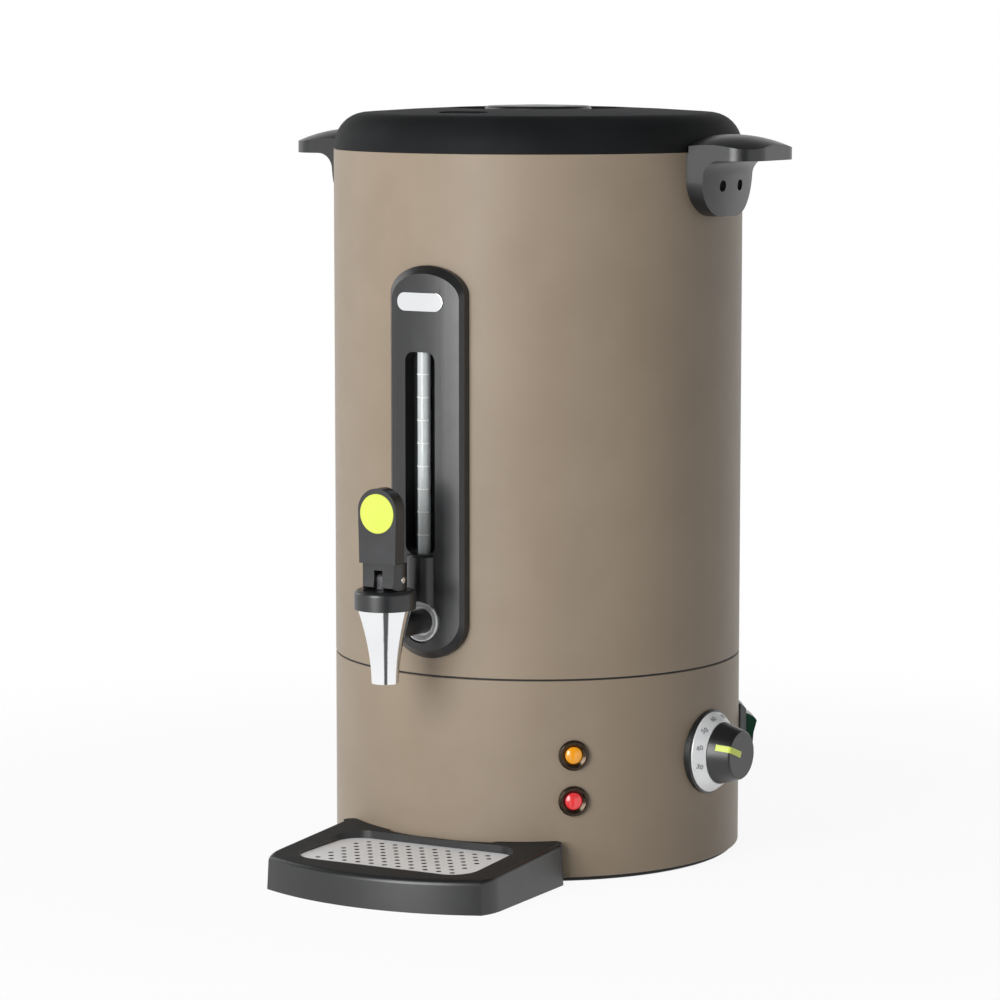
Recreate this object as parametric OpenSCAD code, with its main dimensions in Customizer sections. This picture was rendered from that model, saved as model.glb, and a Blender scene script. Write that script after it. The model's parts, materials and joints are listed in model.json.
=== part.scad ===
// Hot water urn with a lever tap, a sight gauge, a thermostat and a drip tray.
// Millimetres. +Z is up, Z = 0 is the counter, the origin lies on the body's axis.
// The tap faces -Y and the handles stand on -X and +X.

/* [Body] */
// Outer radius of both sheet-metal shells
body_r = 138; // [132:1:146]
// Thickness of the shells' sheet
shell_t = 1; // [0.8:0.1:1.4]
// Height of the tank's rim, where the lid sits
rim_z = 475; // [440:5:520]
// Height of the joint between the base and the upper shell
seam_z = 134; // [130:1:140]
// Height of the gasket ring in that joint
seam_gap = 1.2; // [0.8:0.2:2]
// Width of the shells' inward flanges
flange_w = 12; // [9:1:14]
// Height of the rubber foot ring
foot_h = 3; // [2.6:0.2:5]
// Thickness of the bottom plate
plate_t = 1.2; // [1:0.1:2]

/* [Tank] */
// Air gap between the tank's wall and the shells
tank_air = 6; // [5:0.5:9]
// Wall of the water tank
tank_t = 1; // [0.8:0.1:1.2]
// Underside of the tank's floor
tank_floor_z = 142; // [140:1:150]
// Radius of the heat plate under the tank
heater_r = 95; // [85:1:100]
// Thickness of the heat plate
heater_t = 5; // [4:0.5:6]
// Radius of the heating element's ring
element_ring_r = 75; // [60:1:80]
// Radius of the heating element's tube
element_r = 4; // [3:0.25:4.5]

/* [Lid] */
// Inset of the lid's edge from the shell's outside
lid_inset = 0.5; // [0.4:0.1:1.5]
// Radius of the lid's rounded shoulder
lid_shoulder_r = 22; // [16:1:26]
// Rise of the lid's dome above the shoulder
lid_sag = 4; // [2:0.5:8]
// Wall of the lid
lid_t = 2.6; // [2:0.2:3]
// Radius of the lid's finger well
well_r = 60; // [56:1:70]
// Depth of the finger well
well_depth = 21; // [18:1:23]
// Radius of the lid's knob
knob_cap_r = 36; // [30:1:38]

/* [Handles] */
// Distance that a handle reaches out from the body
handle_reach = 45; // [38:1:60]
// Half of a handle's width
handle_hw = 33.5; // [28:0.5:38]
// Underside of a handle's grip
grip_z = 470; // [436:1:515]
// Height of a grip at its crown
grip_crown = 16.5; // [14:0.5:20]
// Thickness of a handle's mounting plate
mount_t = 12; // [9:0.5:14]
// Distance from the grip's underside to the plate's lower end
mount_drop = 37; // [34:1:50]
// Spacing of the two screws in a handle
handle_screw_gap = 23; // [18:1:28]

/* [Front panel] */
// Lower end of the front panel
panel_z0 = 146; // [144:1:148]
// Upper end of the front panel
panel_z1 = 403; // [395:1:420]
// Half of the front panel's width
panel_hw = 28.5; // [28:0.5:34]
// Sideways offset of the front panel's outline from the tap
panel_offset = 2.5; // [0:0.1:3]
// Thickness of the front panel on the shell
panel_t = 8; // [7.5:0.5:9]
// Half of the gauge window's width
window_hw = 11.5; // [10:0.5:13]
// Lower end of the gauge window
window_z0 = 215; // [213:1:225]
// Upper end of the gauge window
window_z1 = 347; // [330:1:355]
// Outer radius of the gauge tube
gauge_r = 4.3; // [3.8:0.1:4.5]
// Radius of the round cover over the tube's lower end
cover_r = 11; // [10:0.5:13]
// Spacing of the gauge's marks
mark_pitch = 15; // [12:0.5:15]
// Number of marks on the gauge
mark_count = 8; // [5:1:8]

/* [Tap] */
// Distance from the shell to the tap's vertical axis
tap_reach = 49; // [46:1:57]
// Height of the tap's shank
shank_z = 170.8; // [170:0.2:172]
// Radius of the tap's shank
shank_r = 8; // [7:0.25:8.5]
// Height of the spout's mouth
spout_z0 = 136; // [132:1:140]
// Top of the spout's bell
spout_z1 = 184.4; // [183:0.2:186]
// Outer radius at the spout's mouth
spout_tip_r = 8.8; // [8.2:0.1:9.5]
// Outer radius at the bell's top
spout_top_r = 17.6; // [17:0.1:19]
// Bore of the spout's mouth
spout_bore_r = 6.6; // [6:0.1:7]
// Radius of the tap's collar
collar_r = 20; // [19.5:0.5:23]
// Height of the tap's collar
collar_h = 12.6; // [11:0.2:14]
// Lever's turn from shut to fully open
lever_travel = 40; // [20:5:40]
// Lift of the valve stem at full turn
stem_lift = 2.5; // [1.5:0.1:3]
// Height of the lever above its pin
lever_h = 59.2; // [50:0.2:70]
// Half of the lever's width
lever_hw = 14.6; // [13.8:0.1:16]

/* [Controls] */
// Direction of the thermostat dial, in degrees round from the tap
dial_az = 88; // [82:1:95]
// Height of the thermostat dial
dial_z = 76; // [70:1:82]
// Radius of the dial's bezel
dial_r = 28.1; // [26:0.1:30]
// Radius of the knob at its skirt
knob_r = 20.7; // [18:0.1:22]
// Angle of the pointer above the forward direction
pointer_angle = 21; // [0:1:45]
// Direction of the pilot lamps
lamp_az = 41.5; // [38:0.5:50]
// Height of the upper pilot lamp
lamp_z = 84.4; // [80:0.2:95]
// Spacing of the two pilot lamps
lamp_gap = 30.4; // [26:0.2:36]
// Radius of a lamp's bezel
lamp_r = 10; // [9:0.5:12]
// Direction of the mains switch
switch_az = 126; // [122:1:130]
// Height of the mains switch
switch_z = 76; // [70:1:82]

/* [Drip tray] */
// Direction in which the loose drip tray stands, in degrees round from the tap
tray_az = 3.5; // [0:0.5:4]
// Half of the drip tray's width
tray_hw = 84; // [80:1:92]
// Distance from the shell to the tray's front
tray_reach = 103; // [98:1:112]
// Height of the tray's front rim
tray_h = 21.5; // [19.5:0.5:24]
// Rise of the tray's top from its front to the body
tray_rise = 5.2; // [4:0.2:6]
// Radius of the tray's front corners
tray_corner_r = 35; // [28:1:40]
// Radius of the bow of the tray's front edge
tray_bow_r = 185; // [170:5:400]
// Half of the drip grid's width
grid_hw = 65; // [60:1:68]
// Thickness of the drip grid
grid_t = 1; // [0.8:0.1:1.4]
// Radius of a drain hole
drain_r = 1.8; // [1.4:0.1:2.2]
// Spacing of the drain holes
drain_pitch = 10; // [9:0.5:14]

/* [Hidden] */
$fn = 96;

// Clearances shared by mating pieces
running_gap = 0.08;
slip_gap = 0.3;
contact_gap = 0.1;
cut = 1;
far = 400;
arc_steps = 10;

// Derived heights and radii
shell_in_r = body_r - shell_t;
flange_r = body_r - flange_w;
base_z = foot_h + shell_t;
plate_top = base_z + plate_t;
tank_out_r = shell_in_r - tank_air;
tank_r = tank_out_r - tank_t;
lid_r = body_r - lid_inset;
tap_y = body_r + tap_reach;
tray_y = body_r + tray_reach;
rim_out_r = shell_in_r - 0.1;
joint_lo = seam_z - seam_gap / 2;
joint_hi = seam_z + seam_gap / 2;
gasket_recess = 0.8;

// Fasteners that several pieces share
m4_r = 2;
m4_hole_r = 2.2;
m4_head_r = 3.6;
m4_head_h = 2.2;
m4_nut_h = 3.2;
nut_sides = 6;
nut_corner = 1 / cos(30);

body_tan = [0.62, 0.57, 0.50];
matt_black = [0.09, 0.09, 0.09];
satin_black = [0.13, 0.13, 0.14];
steel = [0.72, 0.73, 0.74];
chrome = [0.86, 0.87, 0.88];
brass = [0.78, 0.66, 0.36];
lime = [0.80, 0.88, 0.20];
silicone = [0.85, 0.83, 0.78];

// Turns a piece that faces local +X to a direction round the body, and lifts it
module on_side(az, z = 0) {
    rotate([0, 0, az - 90]) translate([0, 0, z]) children();
}

// Round bar along local +X
module bar_x(x0, x1, r) {
    translate([x0, 0, 0]) rotate([0, 90, 0]) cylinder(h = x1 - x0, r = r);
}

// Round bar along local Y, centred
module bar_y(length, r) {
    rotate([90, 0, 0]) cylinder(h = length, r = r, center = true);
}

// Ring round Z
module ring(r_out, r_in, z0, z1) {
    translate([0, 0, z0]) difference() {
        cylinder(h = z1 - z0, r = r_out);
        translate([0, 0, -cut]) cylinder(h = z1 - z0 + 2 * cut, r = r_in);
    }
}

// Upright cylinder of the body's axis that reaches past every piece
module core(r) {
    translate([0, 0, -far]) cylinder(h = 3 * far, r = r, $fn = 360);
}

// Box that is centred in Y and stated by its ends in X and Z
module slab(x0, x1, half_y, z0, z1) {
    translate([x0, -half_y, z0]) cube([x1 - x0, 2 * half_y, z1 - z0]);
}

// Rounded rectangle about the origin, with true corner arcs
module round_rect(half_x, half_y, r) {
    if (half_y > r) square([2 * half_x, 2 * (half_y - r)], center = true);
    square([2 * (half_x - r), 2 * half_y], center = true);
    for (sx = [-1, 1], sy = [-1, 1]) {
        translate([sx * (half_x - r), sy * (half_y - r)]) circle(r);
    }
}

// Turns a flat outline in (Y, Z) into a plate that faces +X, from x0 to x1
module plate_x(x0, x1) {
    translate([x0, 0, 0]) rotate([90, 0, 90]) linear_extrude(x1 - x0) children();
}

// Lathe profile given in (radius, X), spun about the local X axis
module lathe_x() {
    rotate([0, 90, 0]) rotate_extrude() children();
}

// Points on an arc from angle a0 to a1
function arc(cx, cy, r, a0, a1, n = arc_steps) =
    [for (i = [0:n]) let (a = a0 + (a1 - a0) * i / n) [cx + r * cos(a), cy + r * sin(a)]];

// ---------------------------------------------------------------- base and shells

post_r = 5;
post_ring_r = tank_r - 18;
post_az = [20, 140, 260];
post_bore = 14;
gland_az = 180;
gland_z = 32;
gland_thread_r = 7.5;
lead_r = 4.1;
holder_r = 5;
switch_body_hw = 11;
switch_body_hh = 14;
shaft_r = 3;
cutout_x = -45;
cutout_y = 40;
button_r = 3;

module foot_ring() {
    edge = 1;
    r_in = flange_r - 4;
    r_out = body_r - 3;
    color(matt_black) rotate_extrude() polygon([
        [r_in, foot_h], [r_in, edge], [r_in + edge, 0],
        [r_out - edge, 0], [r_out, edge], [r_out, foot_h]
    ]);
}

module bottom_plate() {
    color(steel) difference() {
        translate([0, 0, base_z]) cylinder(h = plate_t, r = shell_in_r - slip_gap);
        for (az = post_az) {
            on_side(az) translate([post_ring_r, 0, 0]) cylinder(h = far, r = m4_hole_r);
        }
        translate([cutout_x, cutout_y, 0]) cylinder(h = far, r = button_r + slip_gap);
    }
}

module bottom_screws() {
    color(steel) for (az = post_az) {
        on_side(az) translate([post_ring_r, 0, 0]) {
            translate([0, 0, base_z - m4_head_h]) cylinder(h = m4_head_h, r = m4_head_r);
            translate([0, 0, base_z]) cylinder(h = post_bore - 2, r = m4_r);
        }
    }
}

module tie_posts() {
    color(steel) for (az = post_az) {
        on_side(az) translate([post_ring_r, 0, plate_top]) difference() {
            cylinder(h = tank_floor_z - plate_top, r = post_r);
            translate([0, 0, -cut]) cylinder(h = post_bore + cut, r = m4_r + running_gap);
        }
    }
}

// Tube with an inward flange at one end or at both
module flanged_tube(z0, z1, lower, upper) {
    difference() {
        translate([0, 0, z0]) cylinder(h = z1 - z0, r = body_r);
        translate([0, 0, z0 + (lower ? shell_t : -cut)])
            cylinder(h = z1 - z0 - (lower ? shell_t : -cut) - (upper ? shell_t : -cut),
                     r = shell_in_r);
        core(flange_r);
    }
}

module base_shell() {
    color(body_tan) difference() {
        flanged_tube(foot_h, joint_lo, true, true);
        on_side(dial_az, dial_z) bar_x(flange_r, far, shaft_r + slip_gap);
        on_side(gland_az, gland_z) bar_x(flange_r, far, gland_thread_r + contact_gap);
        for (i = [0, 1]) {
            on_side(lamp_az, lamp_z - i * lamp_gap) bar_x(flange_r, far, holder_r + contact_gap);
        }
        on_side(switch_az, switch_z)
            slab(flange_r, far, switch_body_hw + contact_gap,
                 -switch_body_hh - contact_gap, switch_body_hh + contact_gap);
    }
}

module seam_gasket() {
    color(matt_black) ring(body_r - gasket_recess, flange_r, joint_lo, joint_hi);
}

trough_wall = 1.2;
trough_hw = window_hw + trough_wall;
trough_z0 = window_z0 - 24;
trough_z1 = window_z1 + 19;
handle_screw_z = grip_z - 17;
shank_hole_r = shank_r + contact_gap;

module outer_shell() {
    color(body_tan) difference() {
        flanged_tube(joint_hi, rim_z, true, false);
        on_side(0, shank_z) bar_x(flange_r, far, shank_hole_r);
        on_side(0) slab(flange_r, far, trough_hw + contact_gap,
                        trough_z0 - contact_gap, trough_z1 + contact_gap);
        for (az = [90, 270], s = [-1, 1]) {
            on_side(az, handle_screw_z) translate([0, s * handle_screw_gap / 2, 0])
                bar_x(flange_r, far, m4_hole_r);
        }
    }
}

nipple_r = 5;
nipple_z = window_z0 - 15;

module water_tank() {
    color(steel) difference() {
        union() {
            translate([0, 0, tank_floor_z])
                cylinder(h = rim_z - tank_floor_z, r = tank_out_r);
            translate([0, 0, rim_z - tank_t]) cylinder(h = tank_t, r = rim_out_r);
        }
        translate([0, 0, tank_floor_z + tank_t]) cylinder(h = far, r = tank_r);
        on_side(0, shank_z) bar_x(tank_r - cut - 10, far, shank_hole_r);
        on_side(0, nipple_z) bar_x(tank_r - cut - 10, tank_out_r + cut, nipple_r + contact_gap);
    }
}

// ---------------------------------------------------------------- heating and safety

element_z = tank_floor_z - heater_t - element_r / 2;
element_gap = 14;
element_az = 250;
terminal_drop = 20;
pin_len = 8;

module heat_plate() {
    color(steel) difference() {
        translate([0, 0, tank_floor_z - heater_t]) cylinder(h = heater_t, r = heater_r);
        translate([0, 0, element_z]) rotate_extrude()
            translate([element_ring_r, 0]) circle(element_r * bend_swell + contact_gap);
    }
}

module heating_element() {
    color(steel) rotate([0, 0, element_az + element_gap]) translate([0, 0, element_z]) {
        rotate_extrude(angle = 360 - 2 * element_gap)
            translate([element_ring_r, 0]) circle(element_r);
        for (a = [0, -2 * element_gap]) {
            rotate([0, 0, a]) translate([element_ring_r, 0, 0]) {
                sphere(element_r * bend_swell);
                translate([0, 0, -terminal_drop]) cylinder(h = terminal_drop, r = element_r);
                translate([0, 0, -terminal_drop - pin_len]) cylinder(h = pin_len + cut, r = 1.5);
            }
        }
    }
}

cutout_hx = 17;
cutout_hy = 15;
cutout_h = 26;
button_travel = 1.5;
button_z0 = 1.2;
button_top = plate_top + 10;

module safety_cutout() {
    color([0.80, 0.76, 0.66]) translate([cutout_x, cutout_y, plate_top]) difference() {
        translate([-cutout_hx, -cutout_hy, 0]) cube([2 * cutout_hx, 2 * cutout_hy, cutout_h]);
        translate([0, 0, -cut])
            cylinder(h = button_top - plate_top + button_travel + 2, r = button_r + running_gap);
    }
}

module reset_button() {
    color([0.75, 0.10, 0.08]) translate([cutout_x, cutout_y, button_z0])
        cylinder(h = button_top - button_z0, r = button_r);
}

// Point (X, Y) at a direction and a radius round the body, moved along the tangent
function around(az, r, along = 0) =
    [r * sin(az) + along * cos(az), -r * cos(az) + along * sin(az)];

bend_swell = 1.15;

wire_sides = 8;
bend_lap = 0.7;

// Wire through a list of points, eight-sided, with lapped bends
module wire(points, r) {
    last = len(points) - 2;
    for (i = [0:last]) {
        d = points[i + 1] - points[i];
        lap_0 = i > 0 ? r * bend_lap : 0;
        lap_1 = i < last ? r * bend_lap : 0;
        translate(points[i]) rotate([0, acos(d[2] / norm(d)), atan2(d[1], d[0])])
            translate([0, 0, -lap_0])
                cylinder(h = norm(d) + lap_0 + lap_1, r = r, $fn = wire_sides);
    }
}

bulb_r = 3;
bulb_half = 28;
capillary_r = 0.9;
bulb_ring_r = 110;
bulb_z = tank_floor_z - bulb_r;
cutout_bulb_az = 240;

module sensor_bulbs() {
    color(brass) {
        on_side(dial_az) translate([bulb_ring_r, 0, 0]) {
            translate([0, 0, bulb_z]) bar_y(2 * bulb_half, bulb_r);
            wire([[0, -bulb_half + 4, bulb_z], [0, -bulb_half + 4, dial_z + 10],
                  [2, -thermostat_hw, dial_z + 10]], capillary_r);
        }
        on_side(cutout_bulb_az) translate([bulb_ring_r, 0, bulb_z]) bar_y(2 * bulb_half, bulb_r);
        bend = around(cutout_bulb_az, bulb_ring_r);
        wire([concat(bend, bulb_z), concat(bend, 60), [cutout_x, cutout_y + 8, 60],
              [cutout_x, cutout_y + 8, plate_top + cutout_h]], capillary_r);
    }
}

block_y = 78;
block_hx = 24;
block_hy = 9;
block_h = 16;
pole_x = [-16, 0, 16];
pole_depth = 8;

module terminal_block() {
    color([0.90, 0.89, 0.84]) translate([0, block_y, plate_top]) difference() {
        translate([-block_hx, -block_hy, 0]) cube([2 * block_hx, 2 * block_hy, block_h]);
        for (x = pole_x) {
            translate([x, 0, block_h - pole_depth]) cylinder(h = far, r = 3);
        }
    }
}

gland_out = 15;
gland_r = 10;

module cable_gland() {
    color(matt_black) on_side(gland_az, gland_z) difference() {
        union() {
            difference() {
                union() {
                    bar_x(shell_in_r, body_r + 5, gland_r);
                    bar_x(body_r + 4, body_r + gland_out, gland_r - 1.5);
                }
                translate([0, 0, -gland_z]) core(body_r);
            }
            bar_x(shell_in_r - 11, body_r + 1, gland_thread_r);
        }
        bar_x(shell_in_r - 12, body_r + gland_out + cut, lead_r);
    }
}

module gland_nut() {
    color(matt_black) on_side(gland_az, gland_z) difference() {
        intersection() {
            translate([shell_in_r - 5, 0, 0]) rotate([0, 90, 0])
                cylinder(h = 10, r = 10 * nut_corner, $fn = nut_sides);
            translate([0, 0, -gland_z]) core(shell_in_r);
        }
        bar_x(flange_r, far, gland_thread_r + running_gap);
    }
}

wire_r = 1.3;

// Where the wires bend, from the shell inwards and up from the foot
loom_r = body_r - 53;
loom_mid_r = body_r - 50;
loom_out_r = body_r - 48;
stat_bend_r = body_r - 46;
lamp_bend_r = body_r - 54;
lug_gap = 10;
tab_x = 8;
tab_y = cutout_y - 6;
live_z = 50;
cutout_in_z = 55;
cutout_out_z = 60;
pin_bend_z = [85, 80];
neutral_x = -12;
neutral_y = -30;
neutral_z0 = 36;
neutral_z1 = 40;
earth_x = 10;
earth_y = 50;
earth_z0 = 100;
earth_z1 = 120;
cross_x = 45;
cross_z = 60;

// Insulated leads of the mains, the switch, the thermostat, the heater and the lamps
module wiring() {
    pole_z = plate_top + block_h - pole_depth;
    back_r = shell_in_r - switch_depth;
    stat_r = shell_in_r - thermostat_depth;
    lamp_back = shell_in_r - holder_len;
    lamp_lo = lamp_z - lamp_gap;
    cutout_z = plate_top + cutout_h;
    pin_end = element_z - terminal_drop - pin_len;
    pin_a = [for (s = [-1, 1]) let (a = element_az + s * element_gap)
        [element_ring_r * cos(a), element_ring_r * sin(a)]];
    color([0.70, 0.20, 0.15]) {
        // Mains block to the switch, and the switch to the thermostat
        wire([[pole_x[2], block_y, pole_z], [pole_x[2], block_y, live_z],
              concat(around(switch_az, loom_r), switch_z),
              concat(around(switch_az, back_r), switch_z)], wire_r);
        wire([concat(around(switch_az, back_r), switch_z - lug_gap),
              concat(around(switch_az, loom_out_r), switch_z - lug_gap),
              concat(around(dial_az, stat_bend_r), dial_z - lug_gap),
              concat(around(dial_az, stat_r), dial_z - lug_gap)], wire_r);
        // Thermostat to the cut-out, the cut-out to the heater, and back to the block
        wire([concat(around(dial_az, stat_r), dial_z + lug_gap),
              concat(around(dial_az, loom_r), dial_z + lug_gap),
              [cutout_x + tab_x, tab_y, cutout_in_z], [cutout_x + tab_x, tab_y, cutout_z]],
             wire_r);
        wire([[cutout_x - tab_x, tab_y, cutout_z], [cutout_x - tab_x, tab_y, cutout_out_z],
              concat(pin_a[0], pin_bend_z[0]), concat(pin_a[0], pin_end)], wire_r);
        wire([[pole_x[0], block_y, pole_z], [pole_x[0], block_y, neutral_z0],
              [neutral_x, neutral_y, neutral_z1],
              concat(pin_a[1], pin_bend_z[1]), concat(pin_a[1], pin_end)], wire_r);
        // Earth to the heat plate
        wire([[pole_x[1], block_y, pole_z], [pole_x[1], block_y, earth_z0],
              [earth_x, earth_y, earth_z1], [earth_x, earth_y, tank_floor_z - heater_t]], wire_r);
        // Lamps to the thermostat and to the switch
        wire([concat(around(lamp_az, lamp_back), lamp_z),
              concat(around(lamp_az, lamp_bend_r), lamp_z - 3),
              concat(around(dial_az, loom_mid_r, 2 - lug_gap), dial_z + 2),
              concat(around(dial_az, stat_r, -lug_gap), dial_z)], wire_r);
        wire([concat(around(lamp_az, lamp_back), lamp_lo),
              concat(around(lamp_az, loom_mid_r), lamp_lo), [cross_x, 0, cross_z],
              concat(around(switch_az, loom_r), switch_z + lug_gap),
              concat(around(switch_az, back_r), switch_z + lug_gap)], wire_r);
    }
}

// ---------------------------------------------------------------- thermostat and dial

thermostat_hw = 20;
thermostat_depth = 28;
knob_back = 10.3;
knob_len = 14.9;
bezel_out = 2;
scale_lip = 10;
shaft_tip = 20;
shaft_root = 12;

module thermostat() {
    color([0.30, 0.30, 0.32]) on_side(dial_az, dial_z) difference() {
        intersection() {
            slab(shell_in_r - thermostat_depth, body_r, thermostat_hw,
                 -thermostat_hw, thermostat_hw);
            core(shell_in_r);
        }
        bar_x(shell_in_r - shaft_root - cut, far, shaft_r + running_gap);
    }
}

module thermostat_shaft() {
    color(steel) on_side(dial_az, dial_z)
        bar_x(shell_in_r - shaft_root, body_r + shaft_tip, shaft_r);
}

module dial_bezel() {
    chamfer = 0.8;
    color(matt_black) on_side(dial_az, dial_z) difference() {
        translate([body_r, 0, 0]) lathe_x() polygon([
            [0, -12], [dial_r, -12], [dial_r, bezel_out - chamfer],
            [dial_r - chamfer, bezel_out], [0, bezel_out]
        ]);
        core(body_r);
        bar_x(body_r - 12, far, shaft_r + slip_gap);
    }
}

// Conical scale ring between the bezel and the knob
module dial_ring() {
    rim = dial_r - 1.3;
    wall = 2.4;
    color([0.86, 0.86, 0.87]) on_side(dial_az, dial_z) translate([body_r, 0, 0])
        lathe_x() polygon([
            [rim - wall, bezel_out], [rim, bezel_out], [rim, bezel_out + 0.8],
            [knob_r + 0.4, scale_lip], [knob_r - 1.6, scale_lip],
            [knob_r - 1.6, scale_lip - 0.8]
        ]);
}

knob_face_r = knob_r - 4.2;
knob_edge = 0.9;
pointer_hw = 1.6;
pointer_sink = 0.5;
pointer_proud = 0.25;

// Outline of the knob, grown or shrunk by a skin thickness
module knob_form(skin = 0) {
    translate([body_r, 0, 0]) lathe_x() polygon([
        [0, knob_back], [knob_r + skin, knob_back],
        [knob_face_r + skin, knob_back + knob_len - knob_edge + skin],
        [knob_face_r - knob_edge + skin, knob_back + knob_len + skin],
        [0, knob_back + knob_len + skin]
    ]);
}

// Path of the pointer's stripe, from near the face's centre to halfway down the side
module pointer_path() {
    rotate([-pointer_angle, 0, 0])
        translate([body_r + knob_back + knob_len * 0.35, -knob_r - cut, -pointer_hw])
            cube([knob_len + cut, knob_r + cut - 1.5, 2 * pointer_hw]);
}

module dial_knob() {
    color(satin_black) on_side(dial_az, dial_z) difference() {
        knob_form();
        bar_x(body_r, body_r + shaft_tip, shaft_r);
        difference() {
            pointer_path();
            knob_form(-pointer_sink);
        }
    }
}

module knob_pointer() {
    color(lime) on_side(dial_az, dial_z) intersection() {
        difference() {
            knob_form(pointer_proud);
            knob_form(-pointer_sink);
        }
        pointer_path();
    }
}

// ---------------------------------------------------------------- lamps and switch

bezel_proud = 2.6;
lens_r = 5.6;
lens_dome = 2.2;
holder_len = 26;

// Repeats a piece at both lamps, or at one of them
module at_lamps(which) {
    for (i = which) {
        on_side(lamp_az, lamp_z - i * lamp_gap) children();
    }
}

module lamp_bezels() {
    color([0.25, 0.22, 0.19]) at_lamps([0, 1]) difference() {
        translate([body_r, 0, 0]) lathe_x() polygon([
            [lens_r, -3], [lamp_r, -3], [lamp_r, bezel_proud - 1],
            [lamp_r - 1, bezel_proud], [lamp_r - 2, bezel_proud], [lens_r, 0.8]
        ]);
        core(body_r);
    }
}

// Domed lens that sits in its bezel
module lamp_lens() {
    base = 0.4;
    dome_r = (lens_r * lens_r + lens_dome * lens_dome) / (2 * lens_dome);
    intersection() {
        bar_x(body_r + base, body_r + base + 2 + lens_dome, lens_r - contact_gap / 2);
        translate([body_r + base + 1 + lens_dome - dome_r, 0, 0]) sphere(dome_r);
    }
}

module amber_lens() {
    color([0.95, 0.62, 0.10]) at_lamps([0]) lamp_lens();
}

module red_lens() {
    color([0.85, 0.08, 0.10]) at_lamps([1]) lamp_lens();
}

module lamp_holders() {
    color([0.88, 0.86, 0.80]) at_lamps([0, 1]) {
        bar_x(shell_in_r - holder_len, body_r + 0.4, holder_r);
        difference() {
            intersection() {
                translate([shell_in_r - 5, 0, 0]) rotate([0, 90, 0])
                    cylinder(h = 10, r = 8 * nut_corner, $fn = nut_sides);
                core(shell_in_r);
            }
            bar_x(flange_r, far, holder_r);
        }
    }
}

surround_hw = 16;
surround_hh = 20;
surround_out = 5;
surround_slope = 4.5;
switch_depth = 26;
switch_pivot = 4.6;
rocker_hw = 9.5;
rocker_swing_r = 12.4;
rocker_tilt = 10;
switch_window_hh = rocker_swing_r + 0.4;

// Bevelled frame whose back follows the shell
module switch_surround() {
    color(matt_black) on_side(switch_az, switch_z) difference() {
        hull() {
            slab(body_r - 6, body_r + 0.5, surround_hw, -surround_hh, surround_hh);
            slab(body_r, body_r + surround_out, surround_hw - surround_slope,
                 -surround_hh + surround_slope, surround_hh - surround_slope);
        }
        core(body_r);
        slab(flange_r, far, switch_body_hw + contact_gap,
             -switch_body_hh - contact_gap, switch_body_hh + contact_gap);
    }
}

module switch_housing() {
    pin_seat = 0.8;
    color(satin_black) on_side(switch_az, switch_z) difference() {
        slab(shell_in_r - switch_depth, body_r + surround_out, switch_body_hw,
             -switch_body_hh, switch_body_hh);
        slab(body_r - 9, far, rocker_hw + slip_gap, -switch_window_hh, switch_window_hh);
        translate([body_r + switch_pivot - 2.2, 0, 0])
            bar_y(2 * (rocker_hw + slip_gap + pin_seat), 1 + running_gap);
    }
}

// Rocker about a pin across its housing, with its top end standing out
module switch_rocker() {
    pin_reach = 0.7;
    color([0.10, 0.45, 0.22]) on_side(switch_az, switch_z)
        translate([body_r + switch_pivot - 2.2, 0, 0]) rotate([0, rocker_tilt, 0]) {
            difference() {
                intersection() {
                    bar_y(2 * rocker_hw, rocker_swing_r);
                    slab(-5, 12, rocker_hw, -rocker_swing_r, rocker_swing_r);
                }
                for (s = [-1, 1]) {
                    translate([8.2, 0, 0]) rotate([0, s * 5, 0])
                        slab(0, 20, rocker_hw + cut, s > 0 ? 0 : -30, s > 0 ? 30 : 0);
                }
            }
            bar_y(2 * (rocker_hw + slip_gap + pin_reach), 1);
        }
}

// ---------------------------------------------------------------- handles

handle_end_r = 18;
mount_corner_r = 24;
fillet_r = 11;
lid_gap = 1.5;
mount_draft = 2.4;
crown_ball_r = 95;
crown_x = 11.5;
grip_edge = 1.2;
screw_sink = 5;

// Side profile of a handle in (radius, Z), spun round the body's axis
function handle_profile() = concat(
    [[body_r, grip_z - mount_drop - cut],
     [body_r + mount_t - mount_draft, grip_z - mount_drop - cut]],
    arc(body_r + mount_t + fillet_r, grip_z - fillet_r, fillet_r, 180, 90),
    [[body_r + handle_reach + 30, grip_z], [body_r + handle_reach + 30, grip_z + grip_crown],
     [body_r + lid_gap, grip_z + grip_crown], [body_r + lid_gap, rim_z - cut],
     [body_r, rim_z - cut]]
);

// Outline from above: straight sides and two round outer corners
module grip_plan() {
    hw = handle_hw;
    x1 = body_r + handle_reach;
    translate([body_r - 20, -hw - cut]) square([x1 - handle_end_r - body_r + 20, 2 * (hw + cut)]);
    translate([body_r - 20, -hw + handle_end_r]) square([x1 - body_r + 20, 2 * (hw - handle_end_r)]);
    for (s = [-1, 1]) {
        translate([x1 - handle_end_r, s * (hw - handle_end_r)]) circle(handle_end_r);
    }
}

// Outline from outside: straight sides and a rounded lower end
module mount_front() {
    z0 = grip_z - mount_drop;
    z1 = grip_z + grip_crown + cut;
    hw = handle_hw;
    translate([-hw, z0 + mount_corner_r]) square([2 * hw, z1 - z0 - mount_corner_r]);
    translate([-hw + mount_corner_r, z0]) square([2 * (hw - mount_corner_r), z1 - z0]);
    for (s = [-1, 1]) {
        translate([s * (hw - mount_corner_r), z0 + mount_corner_r]) circle(mount_corner_r);
    }
}

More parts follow.
